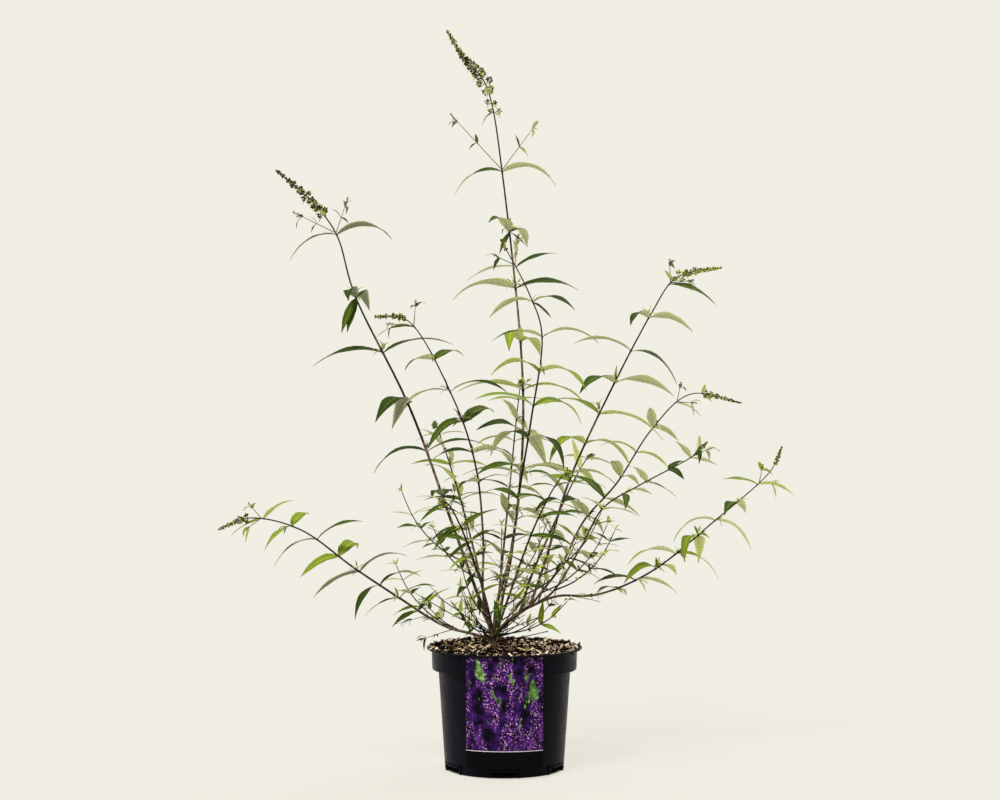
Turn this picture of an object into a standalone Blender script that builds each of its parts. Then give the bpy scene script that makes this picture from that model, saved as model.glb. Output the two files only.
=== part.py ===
"""A butterfly bush in its nursery pot.

A black pot with potting mix and a hanging picture card, a short woody stump with two limbs,
fourteen long whips and a ring of low leafy shoots. Each whip has a bare stem below and one leafy
mass above: its twig, opposite leaves, side shoots and flower spike in bud, fused into one solid.

Metres, +Z up. The origin is the middle of the pot's underside and the card faces -Y.
"""
import bisect
import math
import random
from dataclasses import dataclass, replace

import bmesh
import bpy
from mathutils import Matrix, Quaternion, Vector
from mathutils.bvhtree import BVHTree

MM = 0.001
GAP = 0.3 * MM
DOWN = Vector((0.0, 0.0, -1.0))
MERGE = 0.01 * MM

# Pot
POT_HEIGHT = 0.218
POT_STEPS = 36
LIP_RADIUS = 0.140
LIP_THICKNESS = 0.003
LIP_EDGE = 0.0008
COLLAR_TOP_RADIUS = 0.1313
COLLAR_FOOT_RADIUS = 0.1302
COLLAR_FOOT_HEIGHT = 0.179
COLLAR_SHOULDER = 0.0015
WALL_TOP_RADIUS = 0.1191
WALL_FOOT_RADIUS = 0.1070
WALL = 0.002
FOOT_HEIGHT = 0.0105
HUB_RADIUS = 0.045
HUB_SLOPE = 0.002

# Drain slots through the pot's foot ring
SLOT_COUNT = 6
SLOT_WIDTH = 0.042
SLOT_HEIGHT = 0.0095
SLOT_REACH = 0.020

# Potting mix, heaped a little above the rim
SOIL_STEPS = 28
SOIL_EDGE_HEIGHT = 0.2125
SOIL_CROWN_HEIGHT = 0.2220
SOIL_RINGS = 3

# Picture card hanging from the lip
CARD_WIDTH = 0.141
CARD_FOOT_HEIGHT = 0.021
CARD_THICKNESS = 0.0008
CARD_CORNER = 0.006
CARD_CORNER_STEPS = 3
CARD_BENDS = 8
CARD_FLATNESS = math.radians(1)

# Wood
LIMB_STEP = 0.028
LEAFY_STEP = 0.040
STUMP_ROUTE = [(-20, -35, 222.3), (-19.5, -34.5, 228), (-19, -34, 236), (-18, -32.5, 247), (-17, -31, 258)]
STUMP_RADII = [0.0120, 0.0098, 0.0086, 0.0076, 0.0062]
STUMP_CENTRE = Vector((-0.019, -0.034, 0.232))
LEFT_LIMB_ROUTE = [(-19, -34, 239), (-30, -31, 268), (-42, -26, 298)]
RIGHT_LIMB_ROUTE = [(-18, -33, 243), (12, -29, 271), (46, -22, 294)]
LIMB_RADII = (0.0046, 0.0037)

# Leaves
LEAF_SLENDERNESS = 0.25
LEAF_THICKNESS_SHARE = 0.0115
LEAF_LEAST_THICKNESS = 0.0006
LEAF_ROOT_HALF_WIDTH = 0.0009
LEAF_ROOT_SHIFT = 0.0007
LONG_LEAF = 0.100
LEAF_ROLL = math.radians(24)
LEAF_DROOP = math.radians(94)
HEAVY_LEAF = 0.115
LEAF_CLEARANCE = 0.0006
LEAF_TRIES = [(0, 1.0), (22, 1.0), (-22, 1.0), (44, 0.9), (-44, 0.9), (0, 0.6), (30, 0.6), (-30, 0.6)]

# Side shoots in the leaf joints, and the buds of the flower spikes
TWIG_RADIUS = 0.0009
TWIG_LEAF = 0.026
TWIG_RISE = 0.0035
TWIG_TURN = math.radians(28)
SHORT_SHOOT = 0.040
BRACT = 0.034
BRACT_SPIKE = 0.075
SPIKE_STEP = 0.0125
SPIKE_WAIST = 0.5

# Low shoots on the whips, and a ring of shoots at the stump's foot
SHOOT_ROOM = (0.0032, 0.0016)
SHOOT_FREE = 0.014
SHOOT_TRIES = 14
LOW_SHOOT_FOOT = (0.030, 0.090)
LOW_SHOOT_LENGTH = (0.13, 0.19)
LOW_SHOOT_LIFTS = (24, 37, 50, 63)
FOOT_SHOOTS = 7
FOOT_SHOOT_RISE = (0.004, 0.016)
FOOT_SHOOT_LENGTH = (0.13, 0.18)
FOOT_SHOOT_LIFTS = (8, 16, 28, 42)


@dataclass
class Whip:
    """One long stem. Its route is in millimetres, the other lengths in metres, the turns in degrees."""

    name: str
    route: list
    bare: float
    nodes: int
    spacing: tuple
    leaf: float
    seed: int
    radii: tuple = (0.0024, 0.0008)
    turns: tuple = (45, 135)
    lift: float = 0.5
    angle: float = 62
    spike: float = 0.050
    spike_radius: float = 0.0052
    side_shoot: float = 0.0
    tip_leaf: float = 0.70


WHIPS = [
    Whip("tall_left",
         [(-42, -26, 298), (-95, 10, 440), (-173, 50, 648), (-273, 90, 848), (-311, 110, 968),
          (-362, 115, 1036), (-425, 110, 1091)],
         bare=0.195, nodes=6, spacing=(0.086, 0.126), leaf=0.136, seed=11, radii=(0.0031, 0.0010),
         turns=(0, 80), spike=0.125, spike_radius=0.0112, side_shoot=0.070, tip_leaf=0.86),
    Whip("tall_middle",
         [(-18, -28, 254), (-13, -21, 300), (14, 0, 401), (33, 50, 573), (30, 110, 773), (-4, 170, 1095),
          (-31, 180, 1251), (-80, 177, 1317), (-110, 170, 1365)],
         bare=0.200, nodes=8, spacing=(0.070, 0.118), leaf=0.134, seed=12, radii=(0.0031, 0.0010),
         turns=(5, 70), spike=0.150, spike_radius=0.0125, side_shoot=0.115, tip_leaf=0.92),
    Whip("second_left",
         [(-36, -29, 286), (-39, -48, 340), (-38, -62, 420), (-50, -92, 543), (-86, -130, 658),
          (-158, -170, 792), (-226, -180, 807)],
         bare=0.225, nodes=6, spacing=(0.056, 0.066), leaf=0.108, seed=13, turns=(-20, 50),
         spike=0.060, spike_radius=0.0060, side_shoot=0.035),
    Whip("middle_right",
         [(-14, -34, 254), (-4, -48, 310), (11, -70, 380), (25, -110, 497), (46, -150, 630),
          (64, -190, 766), (41, -210, 845), (-8, -220, 937)],
         bare=0.235, nodes=8, spacing=(0.056, 0.066), leaf=0.121, seed=14, radii=(0.0026, 0.0009),
         turns=(15, -40), spike=0.026, spike_radius=0.0036, side_shoot=0.040),
    Whip("right_upper",
         [(46, -22, 294), (76, -30, 384), (114, -60, 517), (178, -100, 663), (256, -140, 816),
          (300, -150, 876), (377, -160, 892)],
         bare=0.185, nodes=8, spacing=(0.056, 0.068), leaf=0.123, seed=15, radii=(0.0026, 0.0009),
         turns=(-15, 45), spike=0.092, spike_radius=0.0074, side_shoot=0.036),
    Whip("right_middle",
         [(45, -20, 292), (64, 4, 312), (105, 40, 363), (147, 80, 440), (211, 130, 508), (278, 170, 606),
          (354, 190, 674), (454, 200, 657)],
         bare=0.155, nodes=7, spacing=(0.050, 0.064), leaf=0.086, seed=16, turns=(10, 60), lift=0.4,
         spike=0.080, spike_radius=0.0050, side_shoot=0.032),
    Whip("right_lower",
         [(37, -24, 289), (60, -44, 302), (91, -70, 330), (135, -130, 411), (169, -180, 478),
          (229, -220, 519), (310, -260, 566), (340, -270, 595)],
         bare=0.215, nodes=6, spacing=(0.052, 0.044), leaf=0.068, seed=17, radii=(0.0022, 0.0008),
         turns=(20, 70), lift=0.3, spike=0.034, spike_radius=0.0044, side_shoot=0.030),
    Whip("right_arching",
         [(18, -28, 278), (48, 2, 290), (98, 30, 306), (177, 60, 307), (280, 100, 349), (393, 130, 436),
          (495, 150, 522), (524, 155, 576)],
         bare=0.205, nodes=8, spacing=(0.044, 0.054), leaf=0.108, seed=18, turns=(12, 64), lift=0.85,
         angle=74, spike=0.040, spike_radius=0.0044, side_shoot=0.030),
    Whip("left_arching",
         [(-21, -35, 235), (-60, -39, 246), (-112, -42, 262), (-186, -60, 311), (-267, -90, 369),
          (-353, -110, 434), (-438, -130, 458), (-500, -135, 437)],
         bare=0.130, nodes=8, spacing=(0.042, 0.052), leaf=0.100, seed=19, radii=(0.0026, 0.0009),
         turns=(-8, 50), lift=0.55, angle=68, spike=0.062, spike_radius=0.0058, side_shoot=0.028),
    Whip("back_left",
         [(-32, -29, 278), (-46, 25, 350), (-80, 130, 470), (-112, 250, 560), (-135, 360, 612),
          (-142, 420, 606)],
         bare=0.150, nodes=7, spacing=(0.048, 0.058), leaf=0.080, seed=20, turns=(5, 65), lift=0.35),
    Whip("back_middle",
         [(-16, -28, 252), (-9, 10, 320), (8, 110, 480), (22, 225, 612), (32, 335, 690), (36, 400, 702)],
         bare=0.170, nodes=7, spacing=(0.052, 0.062), leaf=0.084, seed=21, turns=(0, 70),
         lift=0.4, spike=0.055),
    Whip("back_right",
         [(28, -25, 284), (50, 25, 345), (92, 120, 430), (134, 230, 508), (166, 330, 550), (178, 390, 546)],
         bare=0.140, nodes=7, spacing=(0.046, 0.056), leaf=0.076, seed=22, turns=(-5, 60),
         lift=0.35, spike=0.045),
    Whip("front_left",
         [(-20, -36, 248), (-38, -90, 330), (-64, -180, 418), (-86, -280, 478), (-100, -365, 500),
          (-104, -415, 490)],
         bare=0.130, nodes=7, spacing=(0.044, 0.054), leaf=0.068, seed=23, turns=(-15, 30),
         lift=0.35, spike=0.042),
    Whip("front_right",
         [(-15, -36, 246), (10, -95, 325), (44, -190, 430), (76, -290, 508), (98, -375, 545), (106, -425, 540)],
         bare=0.140, nodes=7, spacing=(0.046, 0.056), leaf=0.070, seed=24, turns=(-10, 25),
         lift=0.35, spike=0.045),
]


LOW_SHOOT = Whip("low_shoot", [], bare=0.034, nodes=4, spacing=(0.032, 0.030), leaf=0.056, seed=0,
                 radii=(0.0015, 0.0008), turns=(8, 66), spike=0.0)
FOOT_SHOOT = Whip("foot_shoot", [], bare=0.060, nodes=3, spacing=(0.030, 0.028), leaf=0.046, seed=0,
                  radii=(0.0015, 0.0008), turns=(70, 110), lift=0.3, angle=52, spike=0.0)


class Route:
    """A smooth line through a few points in millimetres, read by distance along it in metres."""

    PIECES = 16

    def __init__(self, corners):
        corners = [Vector(corner) * MM for corner in corners]
        corners = [corners[0] * 2 - corners[1]] + corners + [corners[-1] * 2 - corners[-2]]
        self.points = []
        for before, start, end, after in zip(corners, corners[1:], corners[2:], corners[3:]):
            for piece in range(self.PIECES):
                self.points.append(self.between(before, start, end, after, piece / self.PIECES))
        self.points.append(corners[-2])
        self.distances = [0.0]
        for point, following in zip(self.points, self.points[1:]):
            self.distances.append(self.distances[-1] + (following - point).length)
        self.length = self.distances[-1]

    @staticmethod
    def between(before, start, end, after, t):
        """Catmull-Rom point between start and end."""
        slope = (end - before) * 0.5
        next_slope = (after - start) * 0.5
        square = t * t
        cube = square * t
        return (start * (2 * cube - 3 * square + 1) + slope * (cube - 2 * square + t)
                + end * (3 * square - 2 * cube) + next_slope * (cube - square))

    def at(self, distance):
        """The point and the heading at a distance along the line, carried on straight past its ends."""
        last = len(self.points) - 2
        index = min(max(bisect.bisect_right(self.distances, distance) - 1, 0), last)
        step = self.points[index + 1] - self.points[index]
        share = (distance - self.distances[index]) / step.length
        return self.points[index] + step * share, step.normalized()

    def stations(self, start, end, step):
        """Distances from start to end, about a step apart."""
        count = max(2, round((end - start) / step))
        return [start + (end - start) * i / count for i in range(count + 1)]


class Limb:
    """A round limb, with a twin grown by the gap all round that cuts its neighbours clear."""

    def __init__(self, name, points, radii, detail):
        self.mesh = tube_mesh(name, points, radii, detail)
        first = points[0] + (points[0] - points[1]).normalized() * GAP
        last = points[-1] + (points[-1] - points[-2]).normalized() * GAP
        swollen_radii = [radius + GAP for radius in radii]
        self.swollen = tube_mesh(name, [first, *points[1:-1], last], swollen_radii, detail)
        self.swollen_tree = tree_of(self.swollen)


def clear_scene():
    for item in list(bpy.data.objects):
        bpy.data.objects.remove(item, do_unlink=True)


def new_collection(name):
    collection = bpy.data.collections.new(name)
    bpy.context.scene.collection.children.link(collection)
    return collection


def new_material(name, colour, roughness):
    material = bpy.data.materials.new(name)
    material.use_nodes = True
    shader = material.node_tree.nodes["Principled BSDF"]
    shader.inputs["Base Color"].default_value = (*colour, 1.0)
    shader.inputs["Roughness"].default_value = roughness
    shader.inputs["Metallic"].default_value = 0.0
    material.diffuse_color = (*colour, 1.0)
    return material


def add_part(name, mesh, material):
    mesh.name = name
    mesh.materials.clear()
    mesh.materials.append(material)
    part = bpy.data.objects.new(name, mesh)
    PARTS.objects.link(part)
    return part


def evaluated_mesh(item):
    depsgraph = bpy.context.evaluated_depsgraph_get()
    return bpy.data.meshes.new_from_object(item.evaluated_get(depsgraph))


def weld(mesh):
    """Join corners that lie together and turn every face outward."""
    cage = bmesh.new()
    cage.from_mesh(mesh)
    bmesh.ops.remove_doubles(cage, verts=cage.verts, dist=MERGE)
    bmesh.ops.recalc_face_normals(cage, faces=cage.faces)
    cage.to_mesh(mesh)
    cage.free()


def tube_mesh(name, points, radii, detail):
    """A closed round bar through the points, with its own radius at each."""
    curve = bpy.data.curves.new(name, "CURVE")
    curve.dimensions = "3D"
    curve.bevel_depth = MM
    curve.bevel_resolution = detail
    curve.use_fill_caps = True
    spline = curve.splines.new("POLY")
    spline.points.add(len(points) - 1)
    for place, point, radius in zip(spline.points, points, radii):
        place.co = (*point, 1.0)
        place.radius = radius / MM
    bar = bpy.data.objects.new(name, curve)
    bpy.context.scene.collection.objects.link(bar)
    mesh = evaluated_mesh(bar)
    bpy.data.objects.remove(bar)
    bpy.data.curves.remove(curve)
    weld(mesh)
    return mesh


def tree_of(mesh):
    """Search tree of a mesh, to find what it touches."""
    corners = [vertex.co for vertex in mesh.vertices]
    faces = [tuple(face.vertices) for face in mesh.polygons]
    return BVHTree.FromPolygons(corners, faces)


def keep_largest(mesh):
    """Drop loose scraps and the walls of sealed hollows, and keep the one outer skin."""
    cage = bmesh.new()
    cage.from_mesh(mesh)
    unseen = set(cage.verts)
    skins = []
    while unseen:
        skin = set()
        edge_of_search = [unseen.pop()]
        while edge_of_search:
            vertex = edge_of_search.pop()
            skin.add(vertex)
            for edge in vertex.link_edges:
                neighbour = edge.other_vert(vertex)
                if neighbour in unseen:
                    unseen.remove(neighbour)
                    edge_of_search.append(neighbour)
        skins.append(skin)
    skins.sort(key=len)
    for skin in skins[:-1]:
        bmesh.ops.delete(cage, geom=list(skin), context="VERTS")
    cage.to_mesh(mesh)
    cage.free()
    return mesh


def joined(mesh, others, operation):
    """The mesh after one Boolean with a collection of other meshes."""
    work = new_collection("work")
    for other in others:
        work.objects.link(bpy.data.objects.new(other.name, other))
    base = bpy.data.objects.new(mesh.name, mesh)
    bpy.context.scene.collection.objects.link(base)
    boolean = base.modifiers.new("boolean", "BOOLEAN")
    boolean.operation = operation
    boolean.operand_type = "COLLECTION"
    boolean.collection = work
    boolean.solver = "EXACT"
    result = evaluated_mesh(base)
    for item in [base, *work.objects]:
        data = item.data
        bpy.data.objects.remove(item)
        bpy.data.meshes.remove(data)
    bpy.data.collections.remove(work)
    return keep_largest(result)


def clear_of(mesh, limbs):
    """The mesh cut back to stand the gap clear of every limb that it runs into."""
    tree = tree_of(mesh)
    cutters = [limb.swollen.copy() for limb in limbs if limb.swollen_tree.overlap(tree)]
    return joined(mesh, cutters, "DIFFERENCE") if cutters else mesh


def turned_mesh(name, outline, steps):
    """A solid of revolution about Z from its outline of (radius, height) points."""
    line = bpy.data.meshes.new(name)
    cage = bmesh.new()
    corners = [cage.verts.new((radius, 0.0, height)) for radius, height in outline]
    for corner, following in zip(corners, corners[1:]):
        cage.edges.new((corner, following))
    cage.to_mesh(line)
    cage.free()
    profile = bpy.data.objects.new(name, line)
    bpy.context.scene.collection.objects.link(profile)
    screw = profile.modifiers.new("turn", "SCREW")
    screw.steps = steps
    screw.render_steps = steps
    screw.use_merge_vertices = True
    screw.merge_threshold = MERGE
    mesh = evaluated_mesh(profile)
    bpy.data.objects.remove(profile)
    bpy.data.meshes.remove(line)
    return mesh


def build_pot(material):
    lip_foot = POT_HEIGHT - LIP_THICKNESS
    inner_lift = FOOT_HEIGHT + WALL
    outline = [
        (0.0, WALL),
        (HUB_RADIUS - WALL, WALL),
        (HUB_RADIUS, inner_lift),
        (WALL_FOOT_RADIUS - WALL, inner_lift),
        (WALL_TOP_RADIUS - WALL, COLLAR_FOOT_HEIGHT + COLLAR_SHOULDER),
        (COLLAR_FOOT_RADIUS - WALL, COLLAR_FOOT_HEIGHT + WALL),
        (COLLAR_TOP_RADIUS - WALL, POT_HEIGHT),
        (LIP_RADIUS - LIP_EDGE, POT_HEIGHT),
        (LIP_RADIUS, POT_HEIGHT - LIP_EDGE),
        (LIP_RADIUS, lip_foot + LIP_EDGE),
        (LIP_RADIUS - LIP_EDGE, lip_foot),
        (COLLAR_TOP_RADIUS, lip_foot),
        (COLLAR_FOOT_RADIUS, COLLAR_FOOT_HEIGHT),
        (WALL_TOP_RADIUS, COLLAR_FOOT_HEIGHT - COLLAR_SHOULDER),
        (WALL_FOOT_RADIUS, 0.0),
        (WALL_FOOT_RADIUS - WALL, 0.0),
        (WALL_FOOT_RADIUS - WALL, FOOT_HEIGHT),
        (HUB_RADIUS + HUB_SLOPE, FOOT_HEIGHT),
        (HUB_RADIUS, 0.0),
        (0.0, 0.0),
    ]
    slots = []
    for slot in range(SLOT_COUNT):
        turn = Matrix.Rotation(math.tau * (slot / SLOT_COUNT - 0.25), 4, "Z")
        size = Matrix.Diagonal((SLOT_REACH, SLOT_WIDTH, 2 * SLOT_HEIGHT, 1.0))
        block = bpy.data.meshes.new("drain_slot")
        cage = bmesh.new()
        bmesh.ops.create_cube(cage, size=1.0, matrix=turn @ Matrix.Translation((WALL_FOOT_RADIUS, 0, 0)) @ size)
        cage.to_mesh(block)
        cage.free()
        slots.append(block)
    shell = turned_mesh("pot", outline, POT_STEPS)
    return add_part("pot", joined(shell, slots, "DIFFERENCE"), material)


def build_soil(material):
    """Potting mix that fills the pot and heaps up towards the stump."""
    inner_lift = FOOT_HEIGHT + WALL
    collar_step = COLLAR_FOOT_HEIGHT + WALL
    clear = WALL + GAP
    edge_radius = COLLAR_FOOT_RADIUS - clear
    top = []
    for ring in range(SOIL_RINGS + 1):
        share = ring / SOIL_RINGS
        rise = (SOIL_CROWN_HEIGHT - SOIL_EDGE_HEIGHT) * (0.5 + 0.5 * math.cos(math.pi * share))
        top.append((edge_radius * share, SOIL_EDGE_HEIGHT + rise))
    outline = top + [
        (edge_radius - GAP, collar_step + GAP),
        (WALL_TOP_RADIUS - clear - GAP, collar_step),
        (WALL_FOOT_RADIUS - clear - GAP, inner_lift + GAP),
        (HUB_RADIUS - GAP, inner_lift + GAP),
        (HUB_RADIUS - clear - GAP, WALL + GAP),
        (0.0, WALL + GAP),
    ]
    return add_part("soil", turned_mesh("soil", outline, SOIL_STEPS), material)


def build_card(material):
    """A card with round lower corners, bent round the collar, with its top edge under the lip."""
    top = POT_HEIGHT - LIP_THICKNESS - GAP
    half = CARD_WIDTH / 2
    inset = CARD_CORNER
    corners = [(half - inset, top - inset, 0), (inset - half, top - inset, 90),
               (inset - half, CARD_FOOT_HEIGHT + inset, 180), (half - inset, CARD_FOOT_HEIGHT + inset, 270)]
    outline = []
    for across, height, start in corners:
        for step in range(CARD_CORNER_STEPS + 1):
            turn = math.radians(start + 90 * step / CARD_CORNER_STEPS)
            outline.append((across + inset * math.cos(turn), height + inset * math.sin(turn)))
    curve = bpy.data.curves.new("card", "CURVE")
    curve.dimensions = "2D"
    curve.fill_mode = "BOTH"
    curve.extrude = CARD_THICKNESS / 2
    spline = curve.splines.new("POLY")
    spline.points.add(len(outline) - 1)
    for place, (across, height) in zip(spline.points, outline):
        place.co = (across, height, 0.0, 1.0)
    spline.use_cyclic_u = True
    flat = bpy.data.objects.new("card", curve)
    bpy.context.scene.collection.objects.link(flat)
    mesh = evaluated_mesh(flat)
    bpy.data.objects.remove(flat)
    bpy.data.curves.remove(curve)
    weld(mesh)
    cage = bmesh.new()
    cage.from_mesh(mesh)
    bmesh.ops.dissolve_limit(cage, angle_limit=CARD_FLATNESS, verts=cage.verts, edges=cage.edges)
    for bend in range(1, CARD_BENDS):
        across = CARD_WIDTH * (bend / CARD_BENDS - 0.5)
        everything = cage.verts[:] + cage.edges[:] + cage.faces[:]
        bmesh.ops.bisect_plane(cage, geom=everything, dist=MERGE, plane_co=(across, 0, 0), plane_no=(1, 0, 0))
    middle_radius = COLLAR_TOP_RADIUS + GAP + CARD_THICKNESS / 2
    for vertex in cage.verts:
        across, height, depth = vertex.co
        turn = across / middle_radius
        radius = middle_radius + depth
        vertex.co = (radius * math.sin(turn), -radius * math.cos(turn), height)
    cage.to_mesh(mesh)
    cage.free()
    return add_part("label", mesh, material)


def taper(route, start, end, radii, step):
    """Points on a stretch of a route, and radii that fall evenly over the route's whole length."""
    distances = route.stations(start, end, step)
    thick, thin = radii
    return ([route.at(distance)[0] for distance in distances],
            [thick + (thin - thick) * distance / route.length for distance in distances])


def leaf_half_width(t, width):
    """Half width of a lance-shaped leaf at a share t of its length."""
    return max(LEAF_ROOT_HALF_WIDTH, 0.5 * width * math.sin(math.pi * t ** 0.65))


def leaf_pattern(cuts):
    """A three-sided cone on Z from 0 to 1, cut across into even lengths."""
    cage = bmesh.new()
    bmesh.ops.create_cone(cage, cap_ends=True, segments=3, radius1=1.0, radius2=0.0, depth=1.0)
    bmesh.ops.translate(cage, verts=cage.verts, vec=(0, 0, 0.5))
    long_edges = [edge for edge in cage.edges if abs(edge.verts[0].co.z - edge.verts[1].co.z) > 0.5]
    bmesh.ops.subdivide_edges(cage, edges=long_edges, cuts=cuts)
    mesh = bpy.data.meshes.new("leaf_pattern")
    cage.to_mesh(mesh)
    cage.free()
    return mesh


def drooping_frames(root, heading, roll, length, droop, count):
    """Point, up and side at even steps along a leaf that bends across its flat face under its own weight."""
    level_side = Vector((heading.y, -heading.x, 0.0)).normalized()
    side = Quaternion(heading, roll) @ level_side
    point = root.copy()
    frames = []
    for _ in range(count + 1):
        frames.append((point, side.cross(heading), side))
        level = math.sqrt(max(0.0, 1.0 - heading.z ** 2))
        half_bend = Quaternion(side, -droop * level / count / 2)
        heading = half_bend @ heading
        point = point + heading * (length / count)
        heading = half_bend @ heading
    return frames


def leaf_mesh(root, heading, roll, length, droop, spare=0.0):
    """One leaf: flat above, with a keel below, its root sunk in the stem."""
    cuts = 2 if length > LONG_LEAF else 1
    mesh = LEAF_PATTERNS[cuts].copy()
    width = length * LEAF_SLENDERNESS + spare
    thickness = max(length * LEAF_THICKNESS_SHARE, LEAF_LEAST_THICKNESS) + spare
    count = cuts + 1
    frames = drooping_frames(root, heading, roll, length, droop, count)
    for vertex in mesh.vertices:
        t = vertex.co.z
        point, up, side = frames[round(t * count)]
        around = vertex.co.xy.normalized() if t < 0.999 else Vector((0.0, 0.0))
        across = around.x / math.cos(math.radians(30)) * leaf_half_width(t, width)
        keel = thickness if around.y > 0.5 else 0.0
        vertex.co = point + side * across - up * keel
    weld(mesh)
    return mesh


def twig_mesh(start, heading, length, radius):
    """A three-sided tapering twig."""
    cage = bmesh.new()
    bmesh.ops.create_cone(cage, cap_ends=True, segments=3, radius1=radius, radius2=radius * 0.6, depth=length)
    turn = Vector((0, 0, 1)).rotation_difference(heading)
    for vertex in cage.verts:
        vertex.co = turn @ (vertex.co + Vector((0, 0, length / 2))) + start
    mesh = bpy.data.meshes.new("twig")
    cage.to_mesh(mesh)
    cage.free()
    return mesh


def side_and_back(heading):
    """Two directions square to a stem: one nearest to +X, the other square to both."""
    side = Vector((1, 0, 0)) - heading * heading.x
    if side.length < 0.3:
        side = Vector((0, 0, 1)) - heading * heading.z
    side.normalize()
    return side, heading.cross(side)


def node_distances(whip):
    """Distances along a whip of its pairs of leaves, further apart towards the tip."""
    near, far = whip.spacing
    distances = [whip.bare + 0.014]
    for node in range(whip.nodes - 1):
        distances.append(distances[-1] + near + (far - near) * node / (whip.nodes - 2))
    return distances


def leaf_size(whip, node):
    """Leaves are smaller at the foot of a whip and towards its tip."""
    share = node / (whip.nodes - 1)
    foot = min(1.0, 0.62 + 1.3 * share)
    tip = 1.0 - (1.0 - whip.tip_leaf) * max(0.0, share - 0.6) / 0.4
    return whip.leaf * foot * tip


class Crown:
    """Everything that leaves must keep clear of, with the name of the node that owns it."""

    def __init__(self):
        self.trees = []

    def add(self, owner, mesh):
        self.trees.append((owner, tree_of(mesh)))

    def is_clear(self, owner, mesh):
        tree = tree_of(mesh)
        return not any(name != owner and other.overlap(tree) for name, other in self.trees)


def grow_leaf(crown, owner, root, axis, azimuth, angle, roll, length, droop):
    """A leaf at an azimuth round an axis, turned or shortened until it is clear, or None."""
    side, back = side_and_back(axis)
    for turn, shrink in LEAF_TRIES:
        aim = azimuth + math.radians(turn)
        outward = side * math.cos(aim) + back * math.sin(aim)
        heading = axis * math.cos(angle) + outward * math.sin(angle)
        envelope = leaf_mesh(root, heading, roll, length * shrink, droop, LEAF_CLEARANCE)
        fits = crown.is_clear(owner, envelope)
        bpy.data.meshes.remove(envelope)
        if fits:
            leaf = leaf_mesh(root, heading, roll, length * shrink, droop)
            crown.add(owner, leaf)
            return [leaf]
    return []


def grow_side_shoot(crown, owner, root, stem_heading, azimuth, length, chance):
    """A short twig in a leaf joint with small leaves along its outer half."""
    side, back = side_and_back(stem_heading)
    outward = side * math.cos(azimuth) + back * math.sin(azimuth)
    heading = (stem_heading * 0.72 + outward * 0.7).normalized()
    twig = twig_mesh(root, heading, length, TWIG_RADIUS)
    if not crown.is_clear(owner, twig):
        return []
    crown.add(owner, twig)
    pieces = [twig]
    leafy = (0.55, 0.97) if length > SHORT_SHOOT else (0.94,)
    for share in leafy:
        for half_turn in (0.0, math.pi):
            pieces += grow_leaf(crown, owner, root + heading * length * share, heading,
                                azimuth + half_turn + chance.uniform(-0.5, 0.5) + share, math.radians(46),
                                chance.uniform(-0.5, 0.5), TWIG_LEAF * chance.uniform(0.8, 1.25), LEAF_DROOP)
    return pieces


def grow_pair(crown, owner, whip, stem_point, heading, turn, length, seed):
    """Two opposite leaves at one joint, that bend more the longer they are."""
    axis = heading.lerp(-DOWN, whip.lift).normalized()
    weight = min(1.0, length / HEAVY_LEAF)
    pieces = []
    for half in (0, 1):
        chance = random.Random(seed + half)
        azimuth = math.radians(turn + 180 * half) + chance.uniform(-0.2, 0.2)
        pieces += grow_leaf(crown, owner, stem_point + heading * LEAF_ROOT_SHIFT * half, axis, azimuth,
                            math.radians(whip.angle) * chance.uniform(0.9, 1.1),
                            chance.uniform(-LEAF_ROLL, LEAF_ROLL), length * chance.uniform(0.9, 1.1),
                            LEAF_DROOP * weight * chance.uniform(0.60, 1.25))
    return pieces


def grow_mass(crown, whip, route, owner):
    """The leaves and side shoots of a whip's leafy part, counted from its top joint down."""
    pieces = []
    distances = node_distances(whip)
    for node, distance in enumerate(distances):
        stem_point, heading = route.at(distance)
        from_top = whip.nodes - 1 - node
        turn = whip.turns[from_top % 2]
        seed = whip.seed * 1000 + node * 10
        pieces += grow_pair(crown, owner, whip, stem_point, heading, turn, leaf_size(whip, node), seed)
        if whip.side_shoot and from_top == 0:
            for half in (0, 1):
                chance = random.Random(seed + 5 + half)
                root = stem_point + heading * (TWIG_RISE + LEAF_ROOT_SHIFT * half)
                azimuth = math.radians(turn + 180 * half) + TWIG_TURN
                length = whip.side_shoot * chance.uniform(0.85, 1.1)
                pieces += grow_side_shoot(crown, owner, root, heading, azimuth, length, chance)
    if whip.spike > BRACT_SPIKE:
        stem_point, heading = route.at(route.length - whip.spike)
        pieces += grow_pair(crown, owner, whip, stem_point, heading, whip.turns[1], BRACT, whip.seed * 1000 + 900)
    return pieces


def whip_tip(whip, route):
    """The leafy part's own stem, with the swelling buds of its flower spike at the end."""
    spike_start = route.length - whip.spike
    points, radii = taper(route, whip.bare + GAP / 2, spike_start, whip.radii, LEAFY_STEP)
    lumps = 2 * max(2, round(whip.spike / SPIKE_STEP / 2))
    for lump in range(1, lumps + 1):
        share = lump / lumps
        points.append(route.at(spike_start + whip.spike * share)[0])
        fullness = 1.0 if lump % 2 else SPIKE_WAIST
        radii.append(whip.spike_radius * fullness * (1.0 - 0.6 * share))
    return tube_mesh(whip.name, points, radii, 0)


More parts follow.
